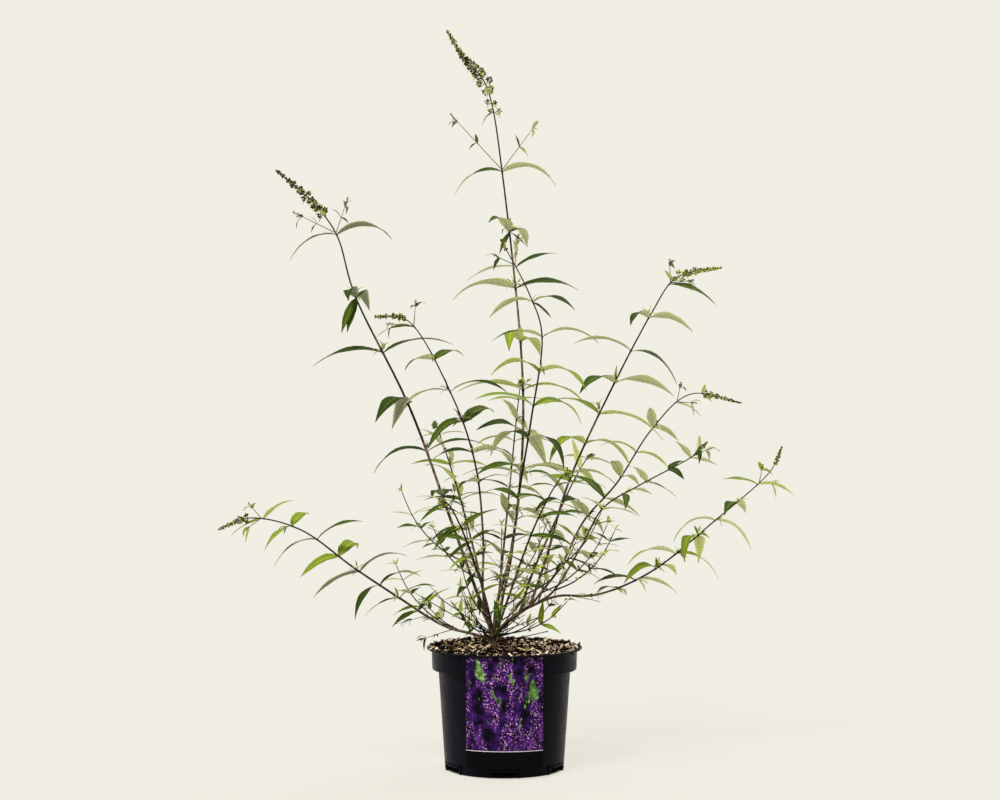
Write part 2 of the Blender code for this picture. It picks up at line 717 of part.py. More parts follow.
def shoot_route(crown, foot, outward, length, lifts, chance):
    """Route of a short shoot from its foot, lifting as it goes, aimed where nothing is in its way."""
    for attempt in range(SHOOT_TRIES):
        aim = outward + chance.uniform(-1.0, 1.0) * (0.35 + 0.15 * attempt)
        level = Vector((math.cos(aim), math.sin(aim), 0.0))
        corners = [foot]
        for lift in lifts:
            step = level * math.cos(math.radians(lift)) - DOWN * math.sin(math.radians(lift))
            corners.append(corners[-1] + step * length / len(lifts))
        route = Route([corner / MM for corner in corners])
        room = tube_mesh("room", *taper(route, SHOOT_FREE, route.length, SHOOT_ROOM, LEAFY_STEP), 0)
        if crown.is_clear(None, room):
            return route
    return None


def shoot_routes(crown, routes):
    """Low shoots: one on each whip's bare stem, then a ring on the stump that stays near the mix."""
    found = []
    for index, whip in enumerate(WHIPS):
        chance = random.Random(500 + index)
        foot, _ = routes[whip.name].at(chance.uniform(*LOW_SHOOT_FOOT))
        outward = math.atan2(foot.y - STUMP_CENTRE.y, foot.x - STUMP_CENTRE.x)
        found.append((LOW_SHOOT, shoot_route(crown, foot, outward, chance.uniform(*LOW_SHOOT_LENGTH),
                                             LOW_SHOOT_LIFTS, chance)))
    for index in range(FOOT_SHOOTS):
        chance = random.Random(700 + index)
        foot = STUMP_CENTRE - DOWN * chance.uniform(*FOOT_SHOOT_RISE)
        outward = math.tau * (index + 0.5) / FOOT_SHOOTS
        found.append((FOOT_SHOOT, shoot_route(crown, foot, outward, chance.uniform(*FOOT_SHOOT_LENGTH),
                                              FOOT_SHOOT_LIFTS, chance)))
    return [(pattern, route) for pattern, route in found if route]


def build_plant(bark, leaf_green):
    crown = Crown()
    for name in ("pot", "soil", "label"):
        crown.add(name, bpy.data.objects[name].data)

    limbs = [Limb("stump", [Vector(point) * MM for point in STUMP_ROUTE], STUMP_RADII, 2)]
    solids = {"stump": limbs[0].mesh}
    for name, corners in (("left_limb", LEFT_LIMB_ROUTE), ("right_limb", RIGHT_LIMB_ROUTE)):
        route = Route(corners)
        limb = Limb(name, *taper(route, 0.0, route.length, LIMB_RADII, LIMB_STEP), 1)
        solids[name] = clear_of(limb.mesh, limbs)
        limbs.append(limb)

    routes = {}
    for whip in WHIPS:
        route = Route(whip.route)
        routes[whip.name] = route
        name = f"{whip.name}_stem"
        bough = Limb(name, *taper(route, 0.0, whip.bare - GAP / 2, whip.radii, LIMB_STEP), 1)
        solids[name] = clear_of(bough.mesh, limbs)
        limbs.append(bough)
    for name, mesh in solids.items():
        add_part(name, mesh, bark)
        crown.add(name, mesh)

    stems = {}
    for whip in WHIPS:
        owner = f"{whip.name}_leaves"
        stems[owner] = whip_tip(whip, routes[whip.name])
        crown.add(owner, stems[owner])

    shoots = []
    for index, (pattern, route) in enumerate(shoot_routes(crown, routes)):
        shoot = replace(pattern, name=f"low_shoot_{index + 1:02d}", seed=100 + index)
        stem = tube_mesh(shoot.name, *taper(route, 0.0, route.length, shoot.radii, LEAFY_STEP), 0)
        stems[shoot.name] = clear_of(stem, limbs)
        crown.add(shoot.name, stems[shoot.name])
        shoots.append((shoot, route))

    for whip in WHIPS:
        owner = f"{whip.name}_leaves"
        pieces = grow_mass(crown, whip, routes[whip.name], owner)
        add_part(owner, joined(stems[owner], pieces, "UNION"), leaf_green)
    for shoot, route in shoots:
        pieces = grow_mass(crown, shoot, route, shoot.name)
        add_part(shoot.name, joined(stems[shoot.name], pieces, "UNION"), leaf_green)


clear_scene()
PARTS = new_collection("butterfly_bush")
LEAF_PATTERNS = {cuts: leaf_pattern(cuts) for cuts in (1, 2)}

build_pot(new_material("black_plastic", (0.012, 0.012, 0.014), 0.35))
build_soil(new_material("potting_mix", (0.055, 0.033, 0.020), 0.95))
build_card(new_material("picture_card", (0.130, 0.045, 0.240), 0.40))
build_plant(new_material("bark", (0.115, 0.070, 0.042), 0.85),
            new_material("leaf_green", (0.075, 0.150, 0.040), 0.60))
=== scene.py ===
"""Looks of the butterfly bush in its nursery pot.

The plant is grown again by the rule of its solids: each leaf is laid where its solid leaf lies, as a
finer blade with a pale underside, and the bud clusters, tufts and fine twigs are added to it.
"""
import bisect
import math
import random
from dataclasses import dataclass, replace

import bmesh
import bpy
import numpy as np
from mathutils import Matrix, Quaternion, Vector, noise
from mathutils.bvhtree import BVHTree


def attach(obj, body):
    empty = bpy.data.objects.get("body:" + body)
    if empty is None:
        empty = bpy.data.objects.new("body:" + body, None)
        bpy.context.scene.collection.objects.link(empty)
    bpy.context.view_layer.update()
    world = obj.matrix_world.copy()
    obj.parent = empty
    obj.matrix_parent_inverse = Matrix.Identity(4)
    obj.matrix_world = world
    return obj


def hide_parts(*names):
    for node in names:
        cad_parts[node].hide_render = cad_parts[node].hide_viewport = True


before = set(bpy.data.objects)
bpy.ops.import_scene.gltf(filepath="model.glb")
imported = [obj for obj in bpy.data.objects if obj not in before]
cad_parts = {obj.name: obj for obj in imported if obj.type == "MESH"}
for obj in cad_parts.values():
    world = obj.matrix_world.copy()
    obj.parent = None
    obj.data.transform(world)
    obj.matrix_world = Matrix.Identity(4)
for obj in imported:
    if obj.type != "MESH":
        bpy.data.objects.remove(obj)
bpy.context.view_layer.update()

MM = 0.001
DOWN = Vector((0.0, 0.0, -1.0))
UP = Vector((0.0, 0.0, 1.0))
BOTH_SIDES = (0.0, math.pi)

# Pot
POT_HEIGHT = 0.218
LIP_RADIUS = 0.140
LIP_THICKNESS = 0.003
COLLAR_TOP_RADIUS = 0.1313
COLLAR_FOOT_RADIUS = 0.1302
COLLAR_FOOT_HEIGHT = 0.179
WALL_TOP_RADIUS = 0.1191
WALL_FOOT_RADIUS = 0.1070
WALL = 0.002
FOOT_HEIGHT = 0.0105
HUB_RADIUS = 0.045
POT_ROUNDING = 0.0008
POT_STEPS = 120
SLOT_COUNT = 6
SLOT_WIDTH = 0.042
SLOT_HEIGHT = 0.0095
SLOT_REACH = 0.020
SLOT_TURNS = [Matrix.Rotation(math.tau * (slot / SLOT_COUNT - 0.25), 4, "Z") for slot in range(SLOT_COUNT)]
WALL_SLOPE = (WALL_TOP_RADIUS - WALL_FOOT_RADIUS) / COLLAR_FOOT_HEIGHT
SLOT_RIBS = (-0.0145, -0.0085, 0.0130, 0.0170)
SLOT_FRAME = [((0.0030, 0.054, 0.0026), (0.0008, 0.0, SLOT_HEIGHT + 0.0032)),
              ((0.0030, 0.0028, 0.0140), (0.0008, -0.0256, 0.0070)),
              ((0.0030, 0.0028, 0.0140), (0.0008, 0.0256, 0.0070))]

# Potting mix
SOIL_RADIUS = 0.1288
SOIL_EDGE_HEIGHT = 0.2125
SOIL_CROWN_HEIGHT = 0.2220
SOIL_RINGS = 44
SOIL_STEPS = 150

# Picture card
CARD_WIDTH = 0.141
CARD_FOOT_HEIGHT = 0.021
CARD_THICKNESS = 0.0008
CARD_CORNER = 0.006
CARD_BENDS = 24
# Two pale strokes on the card's upper left corner: their ends as (across, height), and radii along them
CARD_PALE_STROKES = [((-0.0615, 0.2112), (-0.0540, 0.2072)), ((-0.0530, 0.2108), (-0.0435, 0.2042))]
PALE_STROKE_RADII = [0.0002, 0.0006, 0.0007, 0.0005, 0.0002]

# Bark chips and fibres, with the limits between the tones of the chips
CHIPS = 2000
SPILLED_CHIPS = 230
LIP_TOP = (0.1285, 0.1372)
FIBRES = 420
CHIP_LIMITS = (0.56, 0.76, 0.83, 0.93)
FLAKE_SEED = 10

# Wood: the stubs are (turn, rise, length, radius)
STUMP_ROUTE = [(-20, -35, 214), (-19.5, -34.5, 226), (-19, -34, 236), (-18, -32.5, 247), (-17, -31, 258)]
STUMP_RADII = [0.0125, 0.0104, 0.0088, 0.0076, 0.0058]
STUMP_CENTRE = Vector((-0.019, -0.034, 0.232))
LEFT_LIMB_ROUTE = [(-19, -34, 239), (-30, -31, 268), (-42, -26, 298)]
RIGHT_LIMB_ROUTE = [(-18, -33, 243), (12, -29, 271), (46, -22, 294)]
LIMB_RADII = (0.0040, 0.0028)
STRANDS = 5
STRAND_OFFSET = 0.56
STRAND_SHARE = 0.42
STUBS = [(-100, 0.000, 0.020, 0.0030), (-35, 0.004, 0.017, 0.0025), (150, 0.006, 0.018, 0.0023),
         (60, 0.002, 0.015, 0.0025)]
SHREDS = 26

# Leaves of the rule
FIRST_PAIR = 0.014
LEAF_SLENDERNESS = 0.25
LEAF_ROOT_HALF_WIDTH = 0.0009
LEAF_ROOT_SHIFT = 0.0007
LONG_LEAF = 0.100
LEAF_ROLL = math.radians(24)
LEAF_DROOP = math.radians(94)
HANGING_DROOP = math.radians(24)
HEAVY_LEAF = 0.115
LEAF_TRIES = [(0, 1.0), (22, 1.0), (-22, 1.0), (44, 0.9), (-44, 0.9), (0, 0.6), (30, 0.6), (-30, 0.6)]
NEAR = 0.0012

# Side shoots and spikes of the rule
TWIG_LEAF = 0.026
TWIG_LEAF_ANGLE = math.radians(46)
TWIG_RISE = 0.0035
TWIG_TURN = math.radians(28)
TWIG_RADII = [0.0009, 0.0008, 0.00075, 0.0007, 0.0005]
SHORT_SHOOT = 0.040
BRACT = 0.034
BRACT_SPIKE = 0.075
LOOSE_SPIKE = 0.140
LOOSE_FOOT = 0.020
LOOSE_STEP = 0.017
LOOSE_DROPS = (0.017, 0.033)

# Buds: each turns on from the one before, further over from the tip of its knot
BUD_TURN = 2.4
BUD_TILT = 2.3
BUD_WAIST = 0.36
STALK_RADII = [0.0005, 0.0004, 0.0003]

# Low shoots of the rule
SHOOT_TRIES = 14
SHOOT_NEAR = 0.0022
LOW_SHOOT_FOOT = (0.030, 0.090)
LOW_SHOOT_LENGTH = (0.13, 0.19)
LOW_SHOOT_LIFTS = (24, 37, 50, 63)
FOOT_SHOOTS = 7
FOOT_SHOOT_RISE = (0.004, 0.016)
FOOT_SHOOT_LENGTH = (0.13, 0.18)
FOOT_SHOOT_LIFTS = (8, 16, 28, 42)

# Thin twigs
FOOT_TWIGS = 18
WHIP_TWIGS = 3
FORK_SHARE = 0.55
TUFT_SHARE = 0.55
FOOT_TUFT_SHARE = 0.30
WHIP_TUFT_SHARE = 0.28
STUB_RADIUS = 0.0006
FORK_RADIUS = 0.0008

# Blades
BLADE_ROWS = 10
SMALL_BLADE_ROWS = 6
SMALL_BLADE = 0.046
BLADE_THICKNESS = 0.0004
BLADE_FOLD = 0.30
BLADE_CURL = 0.13
BLADE_EDGE = math.radians(120)

# Stems
STEM_STEP = 0.0075
STEM_SIDES = 10
TWIG_SIDES = 5
JOINT_SWELL = 0.40
JOINT_REACH = 0.0022

# Patterns of bars, each made once for its sides and lengths
BARS = {}

# Gloss
MATT_GLOSS = 0.08
LEAF_GLOSS = 0.035
POT_GLOSS = 0.045
CARD_GLOSS = 0.04

# Bark: name, dark tone, light tone, stretch of its streaks and depth of its relief
BARKS = [("old_bark", (0.005, 0.003, 0.003), (0.360, 0.270, 0.165), 26.0, 0.0012),
         ("brown_bark", (0.005, 0.003, 0.003), (0.170, 0.112, 0.068), 22.0, 0.0007),
         ("tan_stem", (0.006, 0.004, 0.004), (0.200, 0.125, 0.092), 20.0, 0.0005),
         ("dark_stem", (0.004, 0.003, 0.003), (0.048, 0.031, 0.025), 20.0, 0.0004),
         ("olive_stem", (0.005, 0.005, 0.003), (0.042, 0.040, 0.018), 20.0, 0.0003),
         ("green_stem", (0.010, 0.013, 0.004), (0.070, 0.080, 0.025), 20.0, 0.0003)]
OLD_BARK, BROWN_BARK = 0, 1
TWIG_BARKS = [("dark_twig", (0.005, 0.003, 0.003), (0.034, 0.022, 0.016), 60.0, 0.0003),
              ("green_twig", (0.060, 0.065, 0.022), (0.190, 0.210, 0.075), 60.0, 0.0002),
              ("bark_shred", (0.090, 0.060, 0.036), (0.460, 0.350, 0.230), 60.0, 0.0003)]
DARK_TWIG, GREEN_TWIG, SHRED = range(3)

# Leaf faces: name, colour and veins, and for an underside its margin too, whose bright yellow-green is a
# painted glow along the edge
UPPERS = [("deep_leaf", (0.013, 0.027, 0.001), (0.080, 0.115, 0.016)),
          ("mid_leaf", (0.022, 0.044, 0.003), (0.200, 0.240, 0.032)),
          ("fresh_leaf", (0.110, 0.160, 0.009), (0.380, 0.420, 0.060)),
          ("young_leaf", (0.280, 0.310, 0.024), (0.520, 0.540, 0.120))]
UNDERSIDES = [("grey_underside", (0.680, 0.700, 0.400), (0.150, 0.170, 0.045), (0.680, 0.760, 0.240)),
              ("green_underside", (0.700, 0.750, 0.290), (0.210, 0.240, 0.045), (0.740, 0.820, 0.180)),
              ("pale_underside", (0.850, 0.880, 0.520), (0.380, 0.410, 0.120), (0.800, 0.860, 0.280)),
              ("shaded_underside", (0.300, 0.310, 0.200), (0.080, 0.090, 0.030), (0.520, 0.560, 0.260))]
# The last underside above is a darker, greyer copy of the others: painted shade. The last tint pairs it with
# the deep upper face.
DEEP, MID, FRESH, YOUNG, SHADED = range(5)
LEAF_TINTS = {DEEP: (0, 4), MID: (1, 4), FRESH: (2, 5), YOUNG: (3, 6), SHADED: (0, 7)}

# Buds and chips: name, dark tone and light tone
BUDS = [("green_bud", (0.160, 0.200, 0.020), (0.400, 0.440, 0.080)),
        ("dark_bud", (0.010, 0.014, 0.004), (0.032, 0.042, 0.012)),
        ("olive_bud", (0.030, 0.038, 0.010), (0.110, 0.125, 0.035))]
GREEN_BUD, DARK_BUD, OLIVE_BUD = range(3)
MIXED_BUDS = (GREEN_BUD, DARK_BUD, OLIVE_BUD)
CHIP_TONES = [("black_crumb", (0.0012, 0.0008, 0.0006), (0.007, 0.0045, 0.003)),
              ("brown_chip", (0.008, 0.004, 0.002), (0.044, 0.023, 0.013)),
              ("tan_chip", (0.130, 0.070, 0.036), (0.350, 0.205, 0.110)),
              ("straw_chip", (0.500, 0.355, 0.200), (0.860, 0.690, 0.440)),
              ("pink_chip", (0.520, 0.400, 0.330), (0.860, 0.740, 0.640))]

# What sets single whips apart: leaf tints, bud tones, the shares of its length at which its bark
# changes, and hanging leaves as (whip, joints from the top, heading, length, tint)
USUAL_TINTS = (DEEP, MID, MID, FRESH)
WHIP_TINTS = {
    # tall_left and left_arching take the painted-shade tint: deep upper face, darkened underside.
    "tall_left": (SHADED, SHADED, DEEP),
    "tall_middle": (DEEP, MID, FRESH),
    "second_left": (DEEP, MID, MID),
    "right_arching": (MID, FRESH, YOUNG),
    "left_arching": (SHADED, DEEP, MID, FRESH),
}
BUD_TONES = {
    "tall_left": (DARK_BUD, DARK_BUD, OLIVE_BUD, GREEN_BUD),
    "right_upper": (GREEN_BUD, GREEN_BUD, OLIVE_BUD),
}
USUAL_BARK_TURNS = (0.16, 0.34, 0.62, 0.88)
BARK_TURNS = {
    "tall_middle": (0.14, 0.62, 0.80, 0.94),
    "right_upper": (0.18, 0.52, 0.70, 0.88),
    "right_lower": (0.20, 0.48, 0.66, 0.88),
    "back_middle": (0.16, 0.50, 0.70, 0.90),
}
HANGING_LEAVES = [
    ("tall_left", 1, (-0.28, -0.52, -0.60), 0.084, MID),
    ("tall_left", 1, (-0.17, -0.50, -0.64), 0.078, MID),
    ("tall_middle", 1, (0.58, -0.40, -0.34), 0.046, DEEP),
    ("tall_middle", 1, (-0.34, -0.36, -0.60), 0.052, MID),
    ("middle_right", 1, (0.50, -0.42, -0.30), 0.050, DEEP),
]

# Studio: the camera looks level at the middle plane, of which it sees this width. The suns are (name,
# strength, azimuth, elevation, spread, colour)
CAMERA_DISTANCE = 3.55
FRAME_WIDTH = 1.806
SURROUND = (0.880, 0.856, 0.768)
FLOOR_TONE = 0.07
SUNS = [("key", 4.6, -122, 48, 14, (1.0, 0.98, 0.92)),
        ("back", 1.8, 55, 46, 30, (1.0, 1.0, 0.98))]


@dataclass
class Whip:
    """One long stem. Its route is in millimetres, the other lengths in metres, the turns in degrees."""

    name: str
    route: list
    bare: float
    nodes: int
    spacing: tuple
    leaf: float
    seed: int
    radii: tuple = (0.0024, 0.0008)
    turns: tuple = (45, 135)
    lift: float = 0.5
    angle: float = 62
    spike: float = 0.050
    spike_radius: float = 0.0052
    side_shoot: float = 0.0
    tip_leaf: float = 0.70


WHIPS = [
    Whip("tall_left",
         [(-42, -26, 298), (-95, 10, 440), (-173, 50, 648), (-273, 90, 848), (-311, 110, 968),
          (-362, 115, 1036), (-425, 110, 1091)],
         bare=0.195, nodes=6, spacing=(0.086, 0.126), leaf=0.136, seed=11, radii=(0.0031, 0.0010),
         turns=(0, 80), spike=0.125, spike_radius=0.0112, side_shoot=0.070, tip_leaf=0.86),
    Whip("tall_middle",
         [(-18, -28, 254), (-13, -21, 300), (14, 0, 401), (33, 50, 573), (30, 110, 773), (-4, 170, 1095),
          (-31, 180, 1251), (-80, 177, 1317), (-110, 170, 1365)],
         bare=0.200, nodes=8, spacing=(0.070, 0.118), leaf=0.134, seed=12, radii=(0.0031, 0.0010),
         turns=(5, 70), spike=0.150, spike_radius=0.0125, side_shoot=0.115, tip_leaf=0.92),
    Whip("second_left",
         [(-36, -29, 286), (-39, -48, 340), (-38, -62, 420), (-50, -92, 543), (-86, -130, 658),
          (-158, -170, 792), (-226, -180, 807)],
         bare=0.225, nodes=6, spacing=(0.056, 0.066), leaf=0.108, seed=13, turns=(-20, 50),
         spike=0.060, spike_radius=0.0060, side_shoot=0.035),
    Whip("middle_right",
         [(-14, -34, 254), (-4, -48, 310), (11, -70, 380), (25, -110, 497), (46, -150, 630),
          (64, -190, 766), (41, -210, 845), (-8, -220, 937)],
         bare=0.235, nodes=8, spacing=(0.056, 0.066), leaf=0.121, seed=14, radii=(0.0026, 0.0009),
         turns=(15, -40), spike=0.026, spike_radius=0.0036, side_shoot=0.040),
    Whip("right_upper",
         [(46, -22, 294), (76, -30, 384), (114, -60, 517), (178, -100, 663), (256, -140, 816),
          (300, -150, 876), (377, -160, 892)],
         bare=0.185, nodes=8, spacing=(0.056, 0.068), leaf=0.123, seed=15, radii=(0.0026, 0.0009),
         turns=(-15, 45), spike=0.092, spike_radius=0.0074, side_shoot=0.036),
    Whip("right_middle",
         [(45, -20, 292), (64, 4, 312), (105, 40, 363), (147, 80, 440), (211, 130, 508), (278, 170, 606),
          (354, 190, 674), (454, 200, 657)],
         bare=0.155, nodes=7, spacing=(0.050, 0.064), leaf=0.086, seed=16, turns=(10, 60), lift=0.4,
         spike=0.080, spike_radius=0.0050, side_shoot=0.032),
    Whip("right_lower",
         [(37, -24, 289), (60, -44, 302), (91, -70, 330), (135, -130, 411), (169, -180, 478),
          (229, -220, 519), (310, -260, 566), (340, -270, 595)],
         bare=0.215, nodes=6, spacing=(0.052, 0.044), leaf=0.068, seed=17, radii=(0.0022, 0.0008),
         turns=(20, 70), lift=0.3, spike=0.034, spike_radius=0.0044, side_shoot=0.030),
    Whip("right_arching",
         [(18, -28, 278), (48, 2, 290), (98, 30, 306), (177, 60, 307), (280, 100, 349), (393, 130, 436),
          (495, 150, 522), (524, 155, 576)],
         bare=0.205, nodes=8, spacing=(0.044, 0.054), leaf=0.108, seed=18, turns=(12, 64), lift=0.85,
         angle=74, spike=0.040, spike_radius=0.0044, side_shoot=0.030),
    Whip("left_arching",
         [(-21, -35, 235), (-60, -39, 246), (-112, -42, 262), (-186, -60, 311), (-267, -90, 369),
          (-353, -110, 434), (-438, -130, 458), (-500, -135, 437)],
         bare=0.130, nodes=8, spacing=(0.042, 0.052), leaf=0.100, seed=19, radii=(0.0026, 0.0009),
         turns=(-8, 50), lift=0.55, angle=68, spike=0.062, spike_radius=0.0058, side_shoot=0.028),
    Whip("back_left",
         [(-32, -29, 278), (-46, 25, 350), (-80, 130, 470), (-112, 250, 560), (-135, 360, 612),
          (-142, 420, 606)],
         bare=0.150, nodes=7, spacing=(0.048, 0.058), leaf=0.080, seed=20, turns=(5, 65), lift=0.35),
    Whip("back_middle",
         [(-16, -28, 252), (-9, 10, 320), (8, 110, 480), (22, 225, 612), (32, 335, 690), (36, 400, 702)],
         bare=0.170, nodes=7, spacing=(0.052, 0.062), leaf=0.084, seed=21, turns=(0, 70),
         lift=0.4, spike=0.055),
    Whip("back_right",
         [(28, -25, 284), (50, 25, 345), (92, 120, 430), (134, 230, 508), (166, 330, 550), (178, 390, 546)],
         bare=0.140, nodes=7, spacing=(0.046, 0.056), leaf=0.076, seed=22, turns=(-5, 60),
         lift=0.35, spike=0.045),
    Whip("front_left",
         [(-20, -36, 248), (-38, -90, 330), (-64, -180, 418), (-86, -280, 478), (-100, -365, 500),
          (-104, -415, 490)],
         bare=0.130, nodes=7, spacing=(0.044, 0.054), leaf=0.068, seed=23, turns=(-15, 30),
         lift=0.35, spike=0.042),
    Whip("front_right",
         [(-15, -36, 246), (10, -95, 325), (44, -190, 430), (76, -290, 508), (98, -375, 545),
          (106, -425, 540)],
         bare=0.140, nodes=7, spacing=(0.046, 0.056), leaf=0.070, seed=24, turns=(-10, 25),
         lift=0.35, spike=0.045),
]
LOW_SHOOT = Whip("low_shoot", [], bare=0.034, nodes=4, spacing=(0.032, 0.030), leaf=0.056, seed=0,
                 radii=(0.0015, 0.0008), turns=(8, 66), spike=0.0)
FOOT_SHOOT = Whip("foot_shoot", [], bare=0.060, nodes=3, spacing=(0.030, 0.028), leaf=0.046, seed=0,
                  radii=(0.0015, 0.0008), turns=(70, 110), lift=0.3, angle=52, spike=0.0)


class Route:
    """A smooth line through a few points in millimetres, read by distance along it in metres."""

    PIECES = 16

    def __init__(self, corners):
        corners = [Vector(corner) * MM for corner in corners]
        corners = [corners[0] * 2 - corners[1]] + corners + [corners[-1] * 2 - corners[-2]]
        self.points = []
        for before, start, end, after in zip(corners, corners[1:], corners[2:], corners[3:]):
            for piece in range(self.PIECES):
                self.points.append(self.between(before, start, end, after, piece / self.PIECES))
        self.points.append(corners[-2])
        self.distances = [0.0]
        for point, following in zip(self.points, self.points[1:]):
            self.distances.append(self.distances[-1] + (following - point).length)
        self.length = self.distances[-1]

    @staticmethod
    def between(before, start, end, after, t):
        """Catmull-Rom point between start and end."""
        slope = (end - before) * 0.5
        next_slope = (after - start) * 0.5
        square = t * t
        cube = square * t
        return (start * (2 * cube - 3 * square + 1) + slope * (cube - 2 * square + t)
                + end * (3 * square - 2 * cube) + next_slope * (cube - square))

    def at(self, distance):
        """The point and the heading at a distance along the line, carried on straight past its ends."""
        last = len(self.points) - 2
        index = min(max(bisect.bisect_right(self.distances, distance) - 1, 0), last)
        step = self.points[index + 1] - self.points[index]
        share = (distance - self.distances[index]) / step.length
        return self.points[index] + step * share, step.normalized()

    def stations(self, start, end, step):
        """Distances from start to end, about a step apart."""
        count = max(2, round((end - start) / step))
        return [start + (end - start) * i / count for i in range(count + 1)]


class Mass:
    """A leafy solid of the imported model, asked whether a point lies on its skin."""

    def __init__(self, name):
        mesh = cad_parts[name].data
        corners = [vertex.co for vertex in mesh.vertices]
        faces = [tuple(face.vertices) for face in mesh.polygons]
        self.tree = BVHTree.FromPolygons(corners, faces)

    def reaches(self, point, reach=NEAR):
        return self.tree.find_nearest(point, reach)[0] is not None


@dataclass
class Leaf:
    """A blade to be laid from its root along a heading, bent by its droop."""

    root: Vector
    heading: Vector
    roll: float
    length: float
    droop: float
    tint: int


class Pattern:
    """A small closed mesh that is laid many times. Each corner keeps its place in the pattern."""

    def __init__(self, cage):
        cage.verts.index_update()
        self.corners = np.array([vertex.co for vertex in cage.verts])
        self.faces = [[vertex.index for vertex in face.verts] for face in cage.faces]
        self.middles = np.array([face.calc_center_median() for face in cage.faces])
        cage.free()


class Pile:
    """Laid patterns that become one mesh, with a finish for each face."""

    def __init__(self):
        self.corners = []
        self.faces = []
        self.finishes = []
        self.uvs = []
        self.count = 0

    def lay(self, pattern, corners, finishes):
        self.corners.append(corners)
        self.faces += [[index + self.count for index in face] for face in pattern.faces]
        self.finishes.append(np.broadcast_to(finishes, len(pattern.faces)))
        self.uvs.append(pattern.corners[:, :2])
        self.count += len(corners)

    def mesh(self, name, materials, sharp=math.radians(70)):
        mesh = bpy.data.meshes.new(name)
        mesh.from_pydata(np.concatenate(self.corners).tolist(), [], self.faces)
        mesh.polygons.foreach_set("material_index", np.concatenate(self.finishes).astype(np.int32))
        corner_of_loop = np.empty(len(mesh.loops), np.int32)
        mesh.loops.foreach_get("vertex_index", corner_of_loop)
        layer = mesh.uv_layers.new(name="blade")
        layer.data.foreach_set("uv", np.concatenate(self.uvs)[corner_of_loop].astype(np.float32).ravel())
        for material in materials:
            mesh.materials.append(material)
        mesh.shade_smooth()
        mesh.set_sharp_from_angle(angle=sharp)
        return mesh


def link(name, data):
    """A new object with the data, in the scene."""
    item = bpy.data.objects.new(name, data)
    bpy.context.scene.collection.objects.link(item)
    return item


def add_piece(name, mesh, slot, *nodes):
    """A finished piece that rides with the pot and stands for the nodes. Its slot is not used."""
    mesh.name = name
    piece = link(name, mesh)
    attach(piece, "root")
    if nodes:
        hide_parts(*nodes)


def mesh_of(cage, name):
    """The mesh of a finished cage."""
    mesh = bpy.data.meshes.new(name)
    cage.to_mesh(mesh)
    cage.free()
    return mesh


def revolved(outline, steps, rounding=0.0):
    """A cage spun from an outline of radii and heights, its corners rounded where asked."""
    cage = bmesh.new()
    line = [cage.verts.new((radius, 0.0, height)) for radius, height in outline]
    for corner, following in zip(line, line[1:]):
        cage.edges.new((corner, following))
    if rounding:
        bmesh.ops.bevel(cage, geom=line[1:-1], offset=rounding, offset_type="OFFSET", segments=3, profile=0.5,
                        affect="VERTICES", material=-1)
    bmesh.ops.spin(cage, geom=cage.verts[:] + cage.edges[:], axis=(0, 0, 1), cent=(0, 0, 0), angle=math.tau,
                   steps=steps, use_merge=True)
    bmesh.ops.remove_doubles(cage, verts=cage.verts, dist=0.00001)
    bmesh.ops.recalc_face_normals(cage, faces=cage.faces)
    return cage


# Materials

def scaled(colour, factor):
    return tuple(channel * factor for channel in colour)


